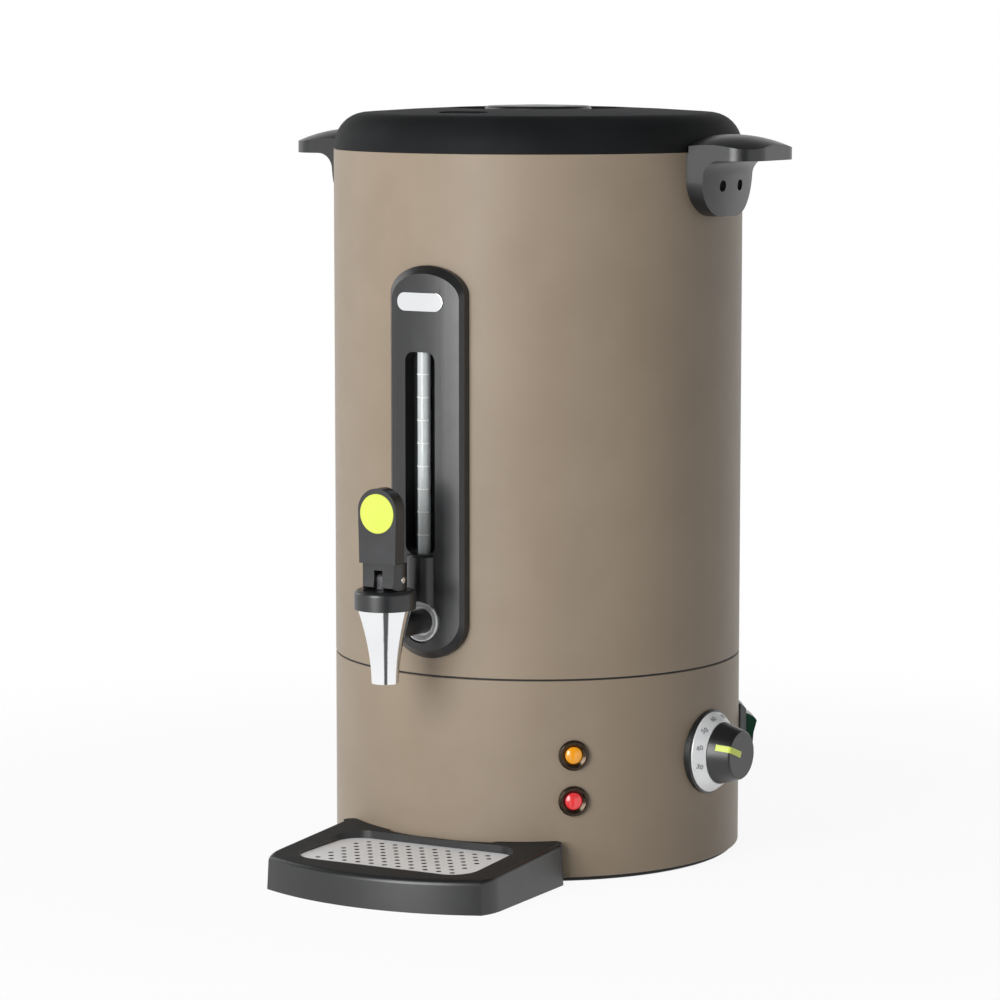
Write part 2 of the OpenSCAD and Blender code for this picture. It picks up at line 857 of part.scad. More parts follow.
module handle() {
    difference() {
        intersection() {
            rotate([0, 0, -25]) rotate_extrude(angle = 50) polygon(handle_profile());
            translate([0, 0, grip_z - far]) linear_extrude(2 * far) grip_plan();
            plate_x(0, far) mount_front();
            translate([body_r + crown_x, 0, grip_z + grip_crown - crown_ball_r])
                sphere(crown_ball_r);
        }
        for (s = [-1, 1]) {
            translate([0, s * handle_screw_gap / 2, handle_screw_z]) {
                bar_x(0, far, m4_hole_r);
                bar_x(body_r + mount_t - screw_sink - m4_head_h, far, m4_head_r + contact_gap);
            }
        }
    }
}

module handle_right() {
    color(satin_black) on_side(90) handle();
}

module handle_left() {
    color(satin_black) on_side(270) handle();
}

module handle_screws() {
    seat = body_r + mount_t - screw_sink - m4_head_h;
    color(steel) for (az = [90, 270], s = [-1, 1]) {
        on_side(az, handle_screw_z) translate([0, s * handle_screw_gap / 2, 0]) difference() {
            union() {
                bar_x(seat, seat + m4_head_h, m4_head_r);
                bar_x(tank_out_r + 1.5, seat + cut, m4_r);
            }
            for (a = [0, 90]) {
                rotate([a, 0, 0]) slab(seat + m4_head_h - 1.2, far, 2.2, -0.5, 0.5);
            }
        }
    }
}

// Backing strips inside the shell, each with two welded nuts
module handle_backplates() {
    strip_t = 1.5;
    half_h = 8;
    color(steel) for (az = [90, 270]) {
        on_side(az, handle_screw_z) difference() {
            union() {
                intersection() {
                    slab(0, far, handle_hw - 8, -half_h, half_h);
                    difference() {
                        core(shell_in_r);
                        core(shell_in_r - strip_t);
                    }
                }
                for (s = [-1, 1]) {
                    translate([shell_in_r - strip_t - m4_nut_h, s * handle_screw_gap / 2, 0])
                        rotate([0, 90, 0])
                            cylinder(h = m4_nut_h + 0.5, r = 3.5 * nut_corner, $fn = nut_sides);
                }
            }
            for (s = [-1, 1]) {
                translate([0, s * handle_screw_gap / 2, 0]) bar_x(0, far, m4_r + running_gap);
            }
        }
    }
}

// ---------------------------------------------------------------- front panel and gauge

panel_face_r = body_r + panel_t;
panel_arch = 19;
panel_foot = 24;
panel_inset = 5;
panel_step = 2.5;
badge_z = panel_z1 - 23.4;
badge_hw = 17.5;
badge_hh = 6;
badge_proud = 0.7;
window_corner_r = 6;
trough_back = 4.1;
panel_steps = 32;
rosette_seat = body_r + 5;
rosette_pad_r = 14.6;
panel_lip = 10;
gauge_y = body_r + 2.7;
cover_y = body_r + 4;
elbow_r = 7.2;
elbow_z0 = nipple_z - 6.5;
elbow_z1 = window_z0 - 3.2;
tube_z0 = nipple_z + 5;
tube_z1 = window_z1 + 7;
cap_z0 = tube_z1 + 1;
cap_z1 = cap_z0 + 7;
cap_hw = 7.2;

// Panel outline in (Y, Z): straight sides, a flat arch on top and a rounder foot
function panel_outline(inset) =
    let (hw = panel_hw - inset,
         top = panel_z1 - inset - panel_arch,
         foot = panel_z0 + inset + panel_foot)
    concat(
        [for (i = [0:panel_steps]) let (a = 180 * i / panel_steps)
            [panel_offset + hw * cos(a), top + panel_arch * sin(a)]],
        [for (i = [0:panel_steps]) let (a = 180 + 180 * i / panel_steps)
            [panel_offset + hw * cos(a), foot + panel_foot * sin(a)]]
    );

// Half-round cover over the tube's lower end, with an eased top edge
module tube_cover() {
    ease = 1.5;
    translate([cover_y, 0, shank_z]) rotate_extrude() polygon([
        [0, 0], [cover_r, 0], [cover_r, window_z0 - shank_z - ease],
        [cover_r - 0.45 * ease, window_z0 - shank_z - 0.45 * ease],
        [cover_r - ease, window_z0 - shank_z], [0, window_z0 - shank_z]
    ]);
}

module front_panel() {
    window_zc = (window_z0 + window_z1) / 2;
    window_hh = (window_z1 - window_z0) / 2;
    color(satin_black) on_side(0) difference() {
        union() {
            difference() {
                union() {
                    intersection() {
                        hull() {
                            plate_x(body_r - panel_lip, body_r + panel_step)
                                polygon(panel_outline(0));
                            plate_x(panel_face_r - 0.5, panel_face_r)
                                polygon(panel_outline(panel_inset));
                        }
                        core(panel_face_r);
                    }
                    tube_cover();
                }
                core(body_r);
            }
            slab(body_r - trough_back, body_r + 1, trough_hw, trough_z0, trough_z1);
        }
        plate_x(body_r - trough_back + trough_wall, far)
            translate([0, window_zc]) round_rect(window_hw, window_hh, window_corner_r);
        slab(0, gauge_y, elbow_r + contact_gap, elbow_z0 - contact_gap, elbow_z1 + contact_gap);
        translate([gauge_y, 0, elbow_z0 - contact_gap])
            cylinder(h = elbow_z1 - elbow_z0 + 2 * contact_gap, r = elbow_r + contact_gap);
        translate([gauge_y, 0, elbow_z0]) cylinder(h = cap_z1 - elbow_z0, r = gauge_r + contact_gap);
        slab(0, gauge_y + gauge_r, cap_hw + contact_gap, cap_z0 - contact_gap,
             cap_z1 + contact_gap);
        translate([0, 0, shank_z]) {
            bar_x(rosette_seat, far, rosette_pad_r);
            bar_x(0, far, shank_hole_r);
        }
        plate_x(panel_face_r - 0.8, far)
            translate([0, badge_z]) round_rect(badge_hw + contact_gap, badge_hh + contact_gap,
                                               badge_hh);
    }
}

// Blank pill-shaped badge, left without any name
module panel_badge() {
    color(chrome) on_side(0) intersection() {
        plate_x(body_r, far) translate([0, badge_z]) round_rect(badge_hw, badge_hh, badge_hh);
        difference() {
            core(panel_face_r + badge_proud);
            core(panel_face_r - 0.8);
        }
        plate_x(panel_face_r - 0.8, far)
            translate([0, badge_z]) round_rect(badge_hw, badge_hh, badge_hh);
    }
}

tube_wall = 1;
seal_r = 5.6;

module gauge_tube() {
    color([0.85, 0.92, 0.95, 0.5]) on_side(0) translate([gauge_y, 0, 0])
        ring(gauge_r, gauge_r - tube_wall, tube_z0, tube_z1);
}

// Level marks printed on the front of the tube
module gauge_marks() {
    half_h = 0.45;
    print_t = 0.15;
    mark_z0 = (window_z0 + window_z1 - mark_pitch * (mark_count - 1)) / 2 - 1;
    color([0.95, 0.95, 0.94]) on_side(0) for (i = [0:mark_count - 1]) {
        z = mark_z0 + i * mark_pitch;
        intersection() {
            translate([gauge_y, 0, 0]) ring(gauge_r + print_t, gauge_r, z - half_h, z + half_h);
            slab(gauge_y + 1, far, far, 0, far);
        }
    }
}

// Lower fitting: takes the tube from above and leads through the tank's wall
module gauge_elbow() {
    color(satin_black) on_side(0) difference() {
        union() {
            difference() {
                union() {
                    slab(tank_out_r - 2, gauge_y, elbow_r, elbow_z0, elbow_z1);
                    translate([gauge_y, 0, elbow_z0])
                        cylinder(h = elbow_z1 - elbow_z0, r = elbow_r);
                }
                core(tank_out_r);
            }
            translate([0, 0, nipple_z]) bar_x(tank_r - 9, tank_out_r + 2, nipple_r);
        }
        translate([gauge_y, 0, tube_z0]) cylinder(h = far, r = seal_r);
        translate([gauge_y, 0, nipple_z]) cylinder(h = far, r = gauge_r - tube_wall);
        translate([0, 0, nipple_z]) bar_x(0, gauge_y, 2.5);
    }
}

// Upper fitting: closes the tube and lets its air out
module gauge_cap() {
    spigot_r = gauge_r - tube_wall - 0.3;
    color(satin_black) on_side(0) difference() {
        union() {
            slab(body_r - trough_back + trough_wall, gauge_y + gauge_r - contact_gap, cap_hw,
                 cap_z0, cap_z1);
            translate([gauge_y, 0, tube_z1 - 5]) cylinder(h = 6 + cut, r = spigot_r);
        }
        translate([gauge_y, 0, 0]) cylinder(h = cap_z0 + 4, r = spigot_r - 1.2);
        translate([0, 0, cap_z0 + 3]) bar_x(0, gauge_y, 1);
    }
}

// Sleeve round the tube's lower end and washer on its upper end
module gauge_seals() {
    color(silicone) on_side(0) translate([gauge_y, 0, 0]) {
        ring(seal_r, gauge_r, tube_z0, elbow_z1);
        ring(gauge_r, gauge_r - tube_wall, tube_z1, cap_z0);
    }
}

// ---------------------------------------------------------------- tap

shank_inside = 16;
water_r = 5;
spout_wall = 1.8;
seat_z = spout_z0 + 22;
seat_r = 5.5;
bell_power = 1.8;
collar_z1 = spout_z1 + collar_h;
collar_wall = 4;
stem_r = 3;
pin_z = collar_z1 + 6.8;
pin_r = 2;
eye_hw = 3;
cam_rate = stem_lift / (lever_travel * PI / 180);
foot_h0 = pin_z - collar_z1 - 0.2;
cup_r = 8;
cup_h = 5;
spring_coil_r = 6;
spring_wire_r = 0.7;

// Outer radius of the bell at a height
function bell_r(z) =
    spout_tip_r + (spout_top_r - spout_tip_r)
        * pow((z - spout_z0) / (spout_z1 - spout_z0), bell_power);

// Bell profile between two heights, moved in by a wall
function bell_points(z0, z1, wall) =
    [for (i = [0:arc_steps]) let (z = z0 + (z1 - z0) * i / arc_steps) [bell_r(z) - wall, z]];

module tap_axis() {
    translate([0, -tap_y, 0]) children();
}

module tap_shank() {
    color(satin_black) on_side(0, shank_z) difference() {
        bar_x(tank_r - shank_inside, tap_y, shank_r);
        bar_x(0, far, water_r);
        translate([tap_y, 0, -shank_z]) rotate_extrude()
            polygon(concat([[0, spout_z0]], bell_points(spout_z0, spout_z1, 0), [[0, spout_z1]]));
    }
}

module tap_rosette() {
    depth = 3.4;
    rim_r = 13.3;
    color(chrome) on_side(0, shank_z) translate([rosette_seat, 0, 0]) lathe_x() polygon([
        [shank_r + contact_gap, 0], [rim_r, 0], [rim_r, depth - 0.6], [rim_r - 0.6, depth],
        [rim_r - 1, depth], [shank_r + 1.6, 1], [shank_r + contact_gap, 1]
    ]);
}

// Sleeve that fills the gap between the tank and the shell
module shank_spacer() {
    color(silicone) on_side(0, shank_z) difference() {
        bar_x(tank_r - 4, body_r, 12);
        core(tank_out_r);
        bar_x(0, far, shank_hole_r);
        difference() {
            bar_x(0, body_r + 1, 13);
            translate([0, 0, -shank_z]) core(shell_in_r);
        }
    }
}

module shank_nut() {
    nut_h = 6;
    color(steel) on_side(0, shank_z) difference() {
        translate([tank_r - nut_h, 0, 0]) rotate([0, 90, 0])
            cylinder(h = nut_h, r = 13 * nut_corner, $fn = nut_sides);
        difference() {
            bar_x(0, far, 30);
            translate([0, 0, -shank_z]) core(tank_r);
        }
        bar_x(0, far, shank_r + running_gap);
    }
}

module tap_spout() {
    color(chrome) tap_axis() difference() {
        rotate_extrude() polygon(concat(
            [[spout_bore_r, spout_z0]],
            bell_points(spout_z0, spout_z1, 0),
            [for (p = bell_points(spout_z1, seat_z, spout_wall)) p],
            [[seat_r, seat_z], [seat_r, seat_z - 4], [spout_bore_r, seat_z - 6]]
        ));
        translate([0, 0, shank_z]) rotate([0, 0, 90]) bar_x(0, 30, water_r);
    }
}

module tap_collar() {
    round_r = 3;
    cavity_r = spout_top_r - spout_wall;
    color(satin_black) tap_axis() rotate_extrude() polygon(concat(
        [[stem_r + running_gap, collar_z1 - collar_wall], [cavity_r, collar_z1 - collar_wall],
         [cavity_r, spout_z1], [collar_r, spout_z1]],
        arc(collar_r - round_r, collar_z1 - round_r, round_r, 0, 90, 6),
        [[stem_r + running_gap, collar_z1]]
    ));
}

// Stem with a flat eye on top, which the lever's pin goes through
module valve_stem() {
    eye_r = 5;
    color(steel) tap_axis() difference() {
        union() {
            translate([0, 0, seat_z + 2]) cylinder(h = pin_z - eye_r - seat_z - 2, r = stem_r);
            intersection() {
                translate([0, 0, pin_z]) union() {
                    rotate([0, 90, 0]) cylinder(h = 2 * eye_hw, r = eye_r, center = true);
                    translate([-eye_hw, -eye_r, -6.4]) cube([2 * eye_hw, 2 * eye_r, 6.4]);
                }
                translate([0, 0, collar_z1 + 0.3]) cylinder(h = far, r = 3 * eye_r);
            }
        }
        translate([0, 0, pin_z]) rotate([0, 90, 0]) cylinder(h = far, r = pin_r, center = true);
    }
}

module lever_pin() {
    color(chrome) tap_axis() translate([0, 0, pin_z]) rotate([0, 90, 0])
        cylinder(h = 2 * (lever_hw - 0.1), r = pin_r, center = true);
}

module seat_cup() {
    color(silicone) tap_axis() difference() {
        translate([0, 0, seat_z + contact_gap]) union() {
            cylinder(h = cup_h, r = cup_r);
            cylinder(h = cup_h + 4, r = spring_coil_r - spring_wire_r - 0.5);
        }
        translate([0, 0, seat_z + 2]) cylinder(h = far, r = stem_r);
    }
}

// Compression spring between the cup and the collar
module valve_spring() {
    z0 = seat_z + contact_gap + cup_h + contact_gap;
    z1 = collar_z1 - collar_wall - contact_gap;
    turns = 6;
    pitch = (z1 - z0) / turns;
    section = [for (t = [0:20:340]) let (a = 360 * spring_wire_r * sin(t) / pitch)
        (spring_coil_r + spring_wire_r * cos(t)) * [cos(a), sin(a)]];
    color(steel) tap_axis() translate([0, 0, z0])
        linear_extrude(z1 - z0, twist = -360 * turns, slices = 24 * turns, $fn = 12)
            polygon(section);
}

lever_front = 9;
lever_t = 10.5;
neck_r = 14.2;
neck_top = 10.5;
fork_hw = eye_hw + 0.2;
disc_r = 12.8;
disc_z = pin_z + lever_h - 16.2;

// Foot of the lever in (forward, up) from the pin. Its toe is the curve that keeps
// touching the collar while the stem rises in step with the lever's turn.
function foot_outline() = concat(
    [[-7.5, neck_top], [-7.5, -foot_h0]],
    [for (i = [0:arc_steps]) let (
        a = lever_travel * i / arc_steps,
        h = foot_h0 + stem_lift * i / arc_steps)
        [h * sin(a) + cam_rate * cos(a), -h * cos(a) + cam_rate * sin(a)]],
    [[7.6, 0], [7.6, neck_top]]
);

// Puts a flat outline in (forward, up) into the tap's plane, centred across X
module across_tap(half_width) {
    translate([half_width, 0, 0]) rotate([90, 0, -90]) linear_extrude(2 * half_width) children();
}

module tap_lever() {
    top_r = lever_hw;
    head_z = lever_h - top_r;
    color(satin_black) tap_axis() translate([0, 0, pin_z]) difference() {
        union() {
            intersection() {
                across_tap(lever_hw) polygon(foot_outline());
                translate([0, 0, -20]) cylinder(h = 60, r = neck_r);
            }
            translate([0, lever_t - lever_front, 0]) rotate([90, 0, 0]) linear_extrude(lever_t) {
                translate([0, head_z]) circle(top_r);
                polygon([[-lever_hw + 0.8, neck_top], [lever_hw - 0.8, neck_top],
                         [top_r, head_z], [-top_r, head_z]]);
            }
        }
        translate([0, 0, -cut - foot_h0]) translate([-fork_hw, -far / 2, 0])
            cube([2 * fork_hw, far, foot_h0 + cut + 6.2]);
        rotate([0, 90, 0]) cylinder(h = far, r = pin_r + running_gap, center = true);
        translate([0, -lever_front, disc_z - pin_z]) rotate([90, 0, 0])
            cylinder(h = 2, r = disc_r + contact_gap, center = true);
    }
}

module lever_disc() {
    color(lime) translate([0, -tap_y - lever_front + 1, disc_z]) rotate([90, 0, 0])
        cylinder(h = 1.3, r = disc_r);
}

// ---------------------------------------------------------------- drip tray

tray_gap = 0.5;
tray_draft = 1.5;
tray_back = body_r - 22;
tray_tip_r = 6;
tray_floor = 2.5;
grid_corner_r = 17;
grid_y0 = body_r + tray_gap + 3;
grid_y1 = tray_y - 23;
grid_z = tray_h - grid_t;
ledge_w = 5;
grid_lift_gap = 0.4;
tray_slope = atan(tray_rise / (tray_y - body_r));

// Tray outline from above, drawn in by an inset, without its hollow for the body
module tray_plan(inset) {
    hw = tray_hw - inset;
    y1 = tray_y - inset;
    r = tray_corner_r - inset;
    intersection() {
        hull() {
            for (s = [-1, 1]) {
                translate([s * (hw - r), -y1 + r]) circle(r);
                translate([s * (hw - tray_tip_r), -tray_back - tray_tip_r]) circle(tray_tip_r);
            }
        }
        translate([0, -y1 + tray_bow_r]) circle(tray_bow_r, $fn = 240);
    }
}

module grid_plan(grow) {
    yc = (grid_y0 + grid_y1) / 2;
    translate([0, -yc]) round_rect(grid_hw + grow, (grid_y1 - grid_y0) / 2 + grow,
                                   grid_corner_r + grow);
}

module drip_tray() {
    color(matt_black) rotate([0, 0, tray_az]) difference() {
        intersection() {
            hull() {
                linear_extrude(0.5) tray_plan(0);
                translate([0, 0, tray_h + tray_rise + 3]) linear_extrude(0.5)
                    tray_plan(tray_draft);
            }
            translate([0, -tray_y, tray_h]) rotate([tray_slope, 0, 0])
                translate([-far / 2, -far / 4, -far]) cube([far, far, far]);
        }
        core(body_r + tray_gap);
        translate([0, 0, grid_z]) linear_extrude(far) grid_plan(grid_lift_gap);
        translate([0, 0, tray_floor]) linear_extrude(far) grid_plan(-ledge_w);
    }
}

module drip_grid() {
    cols = floor((grid_hw - 8) / drain_pitch);
    row_pitch = drain_pitch * 0.8;
    rows = floor((grid_y1 - grid_y0 - 14) / row_pitch);
    yc = (grid_y0 + grid_y1) / 2;
    color(steel) rotate([0, 0, tray_az]) difference() {
        translate([0, 0, grid_z]) linear_extrude(grid_t) grid_plan(0);
        for (j = [0:rows], i = [-cols:cols - (j % 2)]) {
            x = (i + (j % 2) / 2) * drain_pitch;
            y = -yc + (j - rows / 2) * row_pitch;
            corner = [abs(x) - grid_hw + grid_corner_r, abs(y + yc) - (grid_y1 - grid_y0) / 2
                      + grid_corner_r];
            if (min(corner) < 0 || norm(corner) < grid_corner_r - 4) {
                translate([x, y, 0]) cylinder(h = far, r = drain_r, $fn = 24);
            }
        }
    }
}

// ---------------------------------------------------------------- lid

lid_side_h = 2.5;
shoulder_x = lid_r - lid_shoulder_r;
shoulder_top = rim_z + lid_side_h + lid_shoulder_r;
dome_z = shoulder_top + lid_sag;
well_floor_z = dome_z - well_depth;
well_floor_r = 34;
neck_cap_r = 14;
cap_t = 7;
vent_y = 93;
vent_hx = 18;
vent_hy = 8.5;
skirt_r = tank_r - 1;
skirt_t = 2;
skirt_drop = 9;
lid_gasket_r = tank_r - slip_gap;

// Height of the dome's outside at a radius
function dome_h(r) = dome_z - lid_sag * pow(r / shoulder_x, 2);

// Height of the lid's inside at a radius under the rounded shoulder
function lid_inside_h(r) = rim_z + lid_side_h
    + sqrt(pow(lid_shoulder_r - lid_t, 2) - pow(r - shoulder_x, 2));

// Half section of the lid's skin between its outside and its inside
function lid_section() = concat(
    [[lid_r, rim_z]],
    arc(shoulder_x, rim_z + lid_side_h, lid_shoulder_r, 0, 90),
    [[(shoulder_x + well_r) / 2, dome_h((shoulder_x + well_r) / 2)]],
    [[well_r, dome_h(well_r)], [well_floor_r + 6, well_floor_z + 2],
     [well_floor_r, well_floor_z], [0, well_floor_z]],
    [[0, well_floor_z - lid_t], [well_floor_r + 1, well_floor_z - lid_t],
     [well_floor_r + 8, well_floor_z - lid_t + 2.2], [well_r + 2, dome_h(well_r) - lid_t],
     [(shoulder_x + well_r) / 2, dome_h((shoulder_x + well_r) / 2) - lid_t]],
    arc(shoulder_x, rim_z + lid_side_h, lid_shoulder_r - lid_t, 90, 0),
    [[lid_r - lid_t, rim_z]]
);

module lid_shell() {
    color(satin_black) difference() {
        union() {
            rotate_extrude() polygon(lid_section());
            ring(skirt_r, skirt_r - skirt_t, rim_z - skirt_drop,
                 lid_inside_h(skirt_r - skirt_t / 2) + lid_t / 2);
        }
        translate([0, -vent_y, 0]) linear_extrude(2 * far) round_rect(vent_hx, vent_hy, vent_hy);
        cylinder(h = 2 * far, r = m4_hole_r);
    }
}

module lid_gasket() {
    color(silicone) rotate_extrude() polygon([
        [skirt_r, rim_z - skirt_drop + 2], [lid_gasket_r, rim_z - skirt_drop + 3],
        [lid_gasket_r, rim_z - skirt_drop + 6], [skirt_r, rim_z - skirt_drop + 7]
    ]);
}

module lid_knob() {
    top = dome_z + 1;
    edge = 2.5;
    color(satin_black) difference() {
        rotate_extrude() polygon(concat(
            [[0, well_floor_z], [neck_cap_r, well_floor_z], [neck_cap_r - 1, top - cap_t - 3],
             [neck_cap_r + 3, top - cap_t], [knob_cap_r - 2, top - cap_t]],
            [[knob_cap_r, top - cap_t + 2]],
            arc(knob_cap_r - edge, top - 0.8 - edge, edge, 0, 90, 5),
            [[0, top]]
        ));
        cylinder(h = well_floor_z + 11, r = m4_r + running_gap);
    }
}

module lid_screw() {
    color(steel) {
        translate([0, 0, well_floor_z - lid_t - m4_head_h])
            cylinder(h = m4_head_h, r = m4_head_r);
        translate([0, 0, well_floor_z - lid_t]) cylinder(h = lid_t + 10, r = m4_r);
    }
}

foot_ring();
bottom_plate();
bottom_screws();
base_shell();
seam_gasket();
outer_shell();
water_tank();
tie_posts();
heat_plate();
heating_element();
safety_cutout();
reset_button();
sensor_bulbs();
terminal_block();
cable_gland();
gland_nut();
wiring();
thermostat();
thermostat_shaft();
dial_bezel();
dial_ring();
dial_knob();
knob_pointer();
lamp_bezels();
amber_lens();
red_lens();
lamp_holders();
switch_surround();
switch_housing();
switch_rocker();
handle_left();
handle_right();
handle_screws();
handle_backplates();
front_panel();
panel_badge();
gauge_marks();
gauge_tube();
gauge_elbow();
gauge_cap();
gauge_seals();
tap_shank();
tap_rosette();
shank_spacer();
shank_nut();
tap_spout();
tap_collar();
valve_stem();
seat_cup();
valve_spring();
lever_pin();
tap_lever();
lever_disc();
drip_tray();
drip_grid();
lid_shell();
lid_knob();
lid_screw();
lid_gasket();
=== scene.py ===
import json
import math

import bmesh
import bpy
from mathutils import Matrix, Vector


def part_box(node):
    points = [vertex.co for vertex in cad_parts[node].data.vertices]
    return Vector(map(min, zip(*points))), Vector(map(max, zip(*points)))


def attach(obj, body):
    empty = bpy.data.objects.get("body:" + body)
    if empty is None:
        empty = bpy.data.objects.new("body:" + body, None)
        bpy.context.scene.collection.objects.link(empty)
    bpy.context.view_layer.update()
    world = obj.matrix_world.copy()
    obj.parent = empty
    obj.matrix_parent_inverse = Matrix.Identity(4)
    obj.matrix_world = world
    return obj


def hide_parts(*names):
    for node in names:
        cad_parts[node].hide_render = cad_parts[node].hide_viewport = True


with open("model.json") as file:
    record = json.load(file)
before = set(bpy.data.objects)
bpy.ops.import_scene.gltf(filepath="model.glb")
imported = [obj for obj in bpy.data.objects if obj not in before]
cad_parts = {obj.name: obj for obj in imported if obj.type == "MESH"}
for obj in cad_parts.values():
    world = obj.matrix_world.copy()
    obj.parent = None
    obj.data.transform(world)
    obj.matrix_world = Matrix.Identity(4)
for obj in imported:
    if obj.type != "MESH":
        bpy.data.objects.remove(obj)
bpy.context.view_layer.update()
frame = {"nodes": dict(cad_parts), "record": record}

# ---------------------------------------------------------------- camera
# The camera stands well back with a long lens, a little above the lid's height, and looks
# slightly down at the tap, the right handle and the thermostat's side.

CAMERA_AZIMUTH = math.radians(31.7)
CAMERA_DISTANCE = 2.62
CAMERA_HEIGHT = 0.554
IMAGE_SIZE = 1000
FOCAL_PIXELS = 3822
LENS_TRIM = 1.0112
AXIS_X, HORIZON_Y = 537.6, 35.5
SENSOR = 36.0

ahead = Vector((-math.sin(CAMERA_AZIMUTH), math.cos(CAMERA_AZIMUTH), 0))
rightward = Vector((math.cos(CAMERA_AZIMUTH), math.sin(CAMERA_AZIMUTH), 0))
upward = Vector((0, 0, 1))
aim = (ahead + rightward * (IMAGE_SIZE / 2 - AXIS_X) / FOCAL_PIXELS
       - upward * (IMAGE_SIZE / 2 - HORIZON_Y) / FOCAL_PIXELS)
camera_data = bpy.data.cameras.new("camera")
camera_data.sensor_width = SENSOR
camera_data.lens = FOCAL_PIXELS * LENS_TRIM / IMAGE_SIZE * SENSOR
camera_data.clip_start, camera_data.clip_end = 0.05, 60
camera = bpy.data.objects.new("camera", camera_data)
camera.location = upward * CAMERA_HEIGHT - ahead * CAMERA_DISTANCE
camera.rotation_mode = "QUATERNION"
camera.rotation_quaternion = aim.to_track_quat("-Z", "Y")
bpy.context.scene.collection.objects.link(camera)
bpy.context.scene.camera = camera
bpy.context.scene.view_settings.view_transform = "Standard"

# ---------------------------------------------------------------- painted shells
# The upper and the base shell are rolled 1 mm steel sheet with inward flanges, powder
# coated in warm grey-brown. Each is spun from its half section, and an opening is cut
# behind the gauge and behind the mains switch.


def srgb(r, g, b):
    """A colour written in 0 to 255 as the shader's linear values."""
    def lin(c):
        c /= 255
        return c / 12.92 if c <= 0.04045 else ((c + 0.055) / 1.055) ** 2.4
    return (lin(r), lin(g), lin(b), 1)


def add_node(tree, kind, operation=None, **inputs):
    """A shader node with its operation and its unlinked inputs."""
    node = tree.nodes.new("ShaderNode" + kind)
    if operation:
        node.operation = operation
    for key, value in inputs.items():
        node.inputs[key.replace("_", " ")].default_value = value
    return node


def add_math(tree, operation, *values, clamp=False):
    """The output of a Math node whose values are numbers or other nodes' outputs."""
    node = add_node(tree, "Math", operation)
    node.use_clamp = clamp
    for socket, value in zip(node.inputs, values):
        if isinstance(value, bpy.types.NodeSocket):
            tree.links.new(value, socket)
        else:
            socket.default_value = value
    return node.outputs["Value"]


def add_range(tree, value, low, high, at_low=0.0, at_high=1.0, smooth=False):
    """The output of a Map Range node from low..high to at_low..at_high."""
    node = add_node(tree, "MapRange", From_Min=low, From_Max=high,
                    To_Min=at_low, To_Max=at_high)
    if smooth:
        node.interpolation_type = "SMOOTHSTEP"
    tree.links.new(value, node.inputs["Value"])
    return node.outputs["Result"]


def add_mix(tree, share, a, b):
    """The output of a node that mixes two colours."""
    node = add_node(tree, "Mix")
    node.data_type = "RGBA"
    for key, value in (("Factor", share), ("A", a), ("B", b)):
        tree.links.new(value, node.inputs[key])
    return node.outputs["Result"]


def make_grain_group():
    """The surface that every finish shares: two close colours that drift over the piece, a
    grain, roughness that varies with handling, and wear where an edge stands out."""
    group = bpy.data.node_groups.new("grained_surface", "ShaderNodeTree")
    for name, kind, value in (
        ("Color", "NodeSocketColor", (0.5, 0.5, 0.5, 1)),
        ("Shade", "NodeSocketColor", (0.4, 0.4, 0.4, 1)),
        ("Worn", "NodeSocketColor", (0.6, 0.6, 0.6, 1)),
        ("Wear", "NodeSocketFloat", 0.3),
        ("Grain", "NodeSocketFloat", 1500.0),
        ("Depth", "NodeSocketFloat", 0.1),
        ("Roughness", "NodeSocketFloat", 0.4),
        ("Spread", "NodeSocketFloat", 0.1),
        ("Stretch", "NodeSocketVector", (1, 1, 1)),
    ):
        socket = group.interface.new_socket(name, in_out="INPUT", socket_type=kind)
        socket.default_value = value
    for name, kind in (("Color", "NodeSocketColor"), ("Roughness", "NodeSocketFloat"),
                       ("Normal", "NodeSocketVector")):
        group.interface.new_socket(name, in_out="OUTPUT", socket_type=kind)
    link = group.links.new
    given = group.nodes.new("NodeGroupInput").outputs
    result = group.nodes.new("NodeGroupOutput").inputs
    spot = add_node(group, "TexCoord").outputs["Object"]
    stretched = add_node(group, "VectorMath", "MULTIPLY")
    link(spot, stretched.inputs[0])
    link(given["Stretch"], stretched.inputs[1])
    drift = add_node(group, "TexNoise", Scale=22, Detail=3)
    smudge = add_node(group, "TexNoise", Scale=70, Detail=6, Distortion=0.5)
    grain = add_node(group, "TexNoise", Detail=2)
    link(spot, drift.inputs["Vector"])
    link(spot, smudge.inputs["Vector"])
    link(stretched.outputs["Vector"], grain.inputs["Vector"])
    link(given["Grain"], grain.inputs["Scale"])
    share = add_range(group, drift.outputs["Fac"], low=0.38, high=0.62)
    tint = add_mix(group, share, given["Color"], given["Shade"])
    # Flecks of the grain show faintly in the colour too
    fleck = add_range(group, grain.outputs["Fac"], low=0.62, high=0.80, at_high=0.35)
    flecked = add_mix(group, fleck, tint, given["Shade"])
    # Wear follows the convex edges, broken up by the smudges
    pointed = add_node(group, "NewGeometry").outputs["Pointiness"]
    edge = add_range(group, pointed, low=0.515, high=0.60)
    broken = add_math(group, "MULTIPLY", edge, smudge.outputs["Fac"])
    amount = add_math(group, "MULTIPLY", broken, given["Wear"], clamp=True)
    link(add_mix(group, amount, flecked, given["Worn"]), result["Color"])
    centred = add_math(group, "SUBTRACT", smudge.outputs["Fac"], 0.5)
    link(add_math(group, "MULTIPLY_ADD", centred, given["Spread"], given["Roughness"],
                  clamp=True), result["Roughness"])
    bump = add_node(group, "Bump", Distance=0.0002)
    link(given["Depth"], bump.inputs["Strength"])
    link(grain.outputs["Fac"], bump.inputs["Height"])
    link(bump.outputs["Normal"], result["Normal"])
    return group


grain_group = make_grain_group()
FINISH = {}


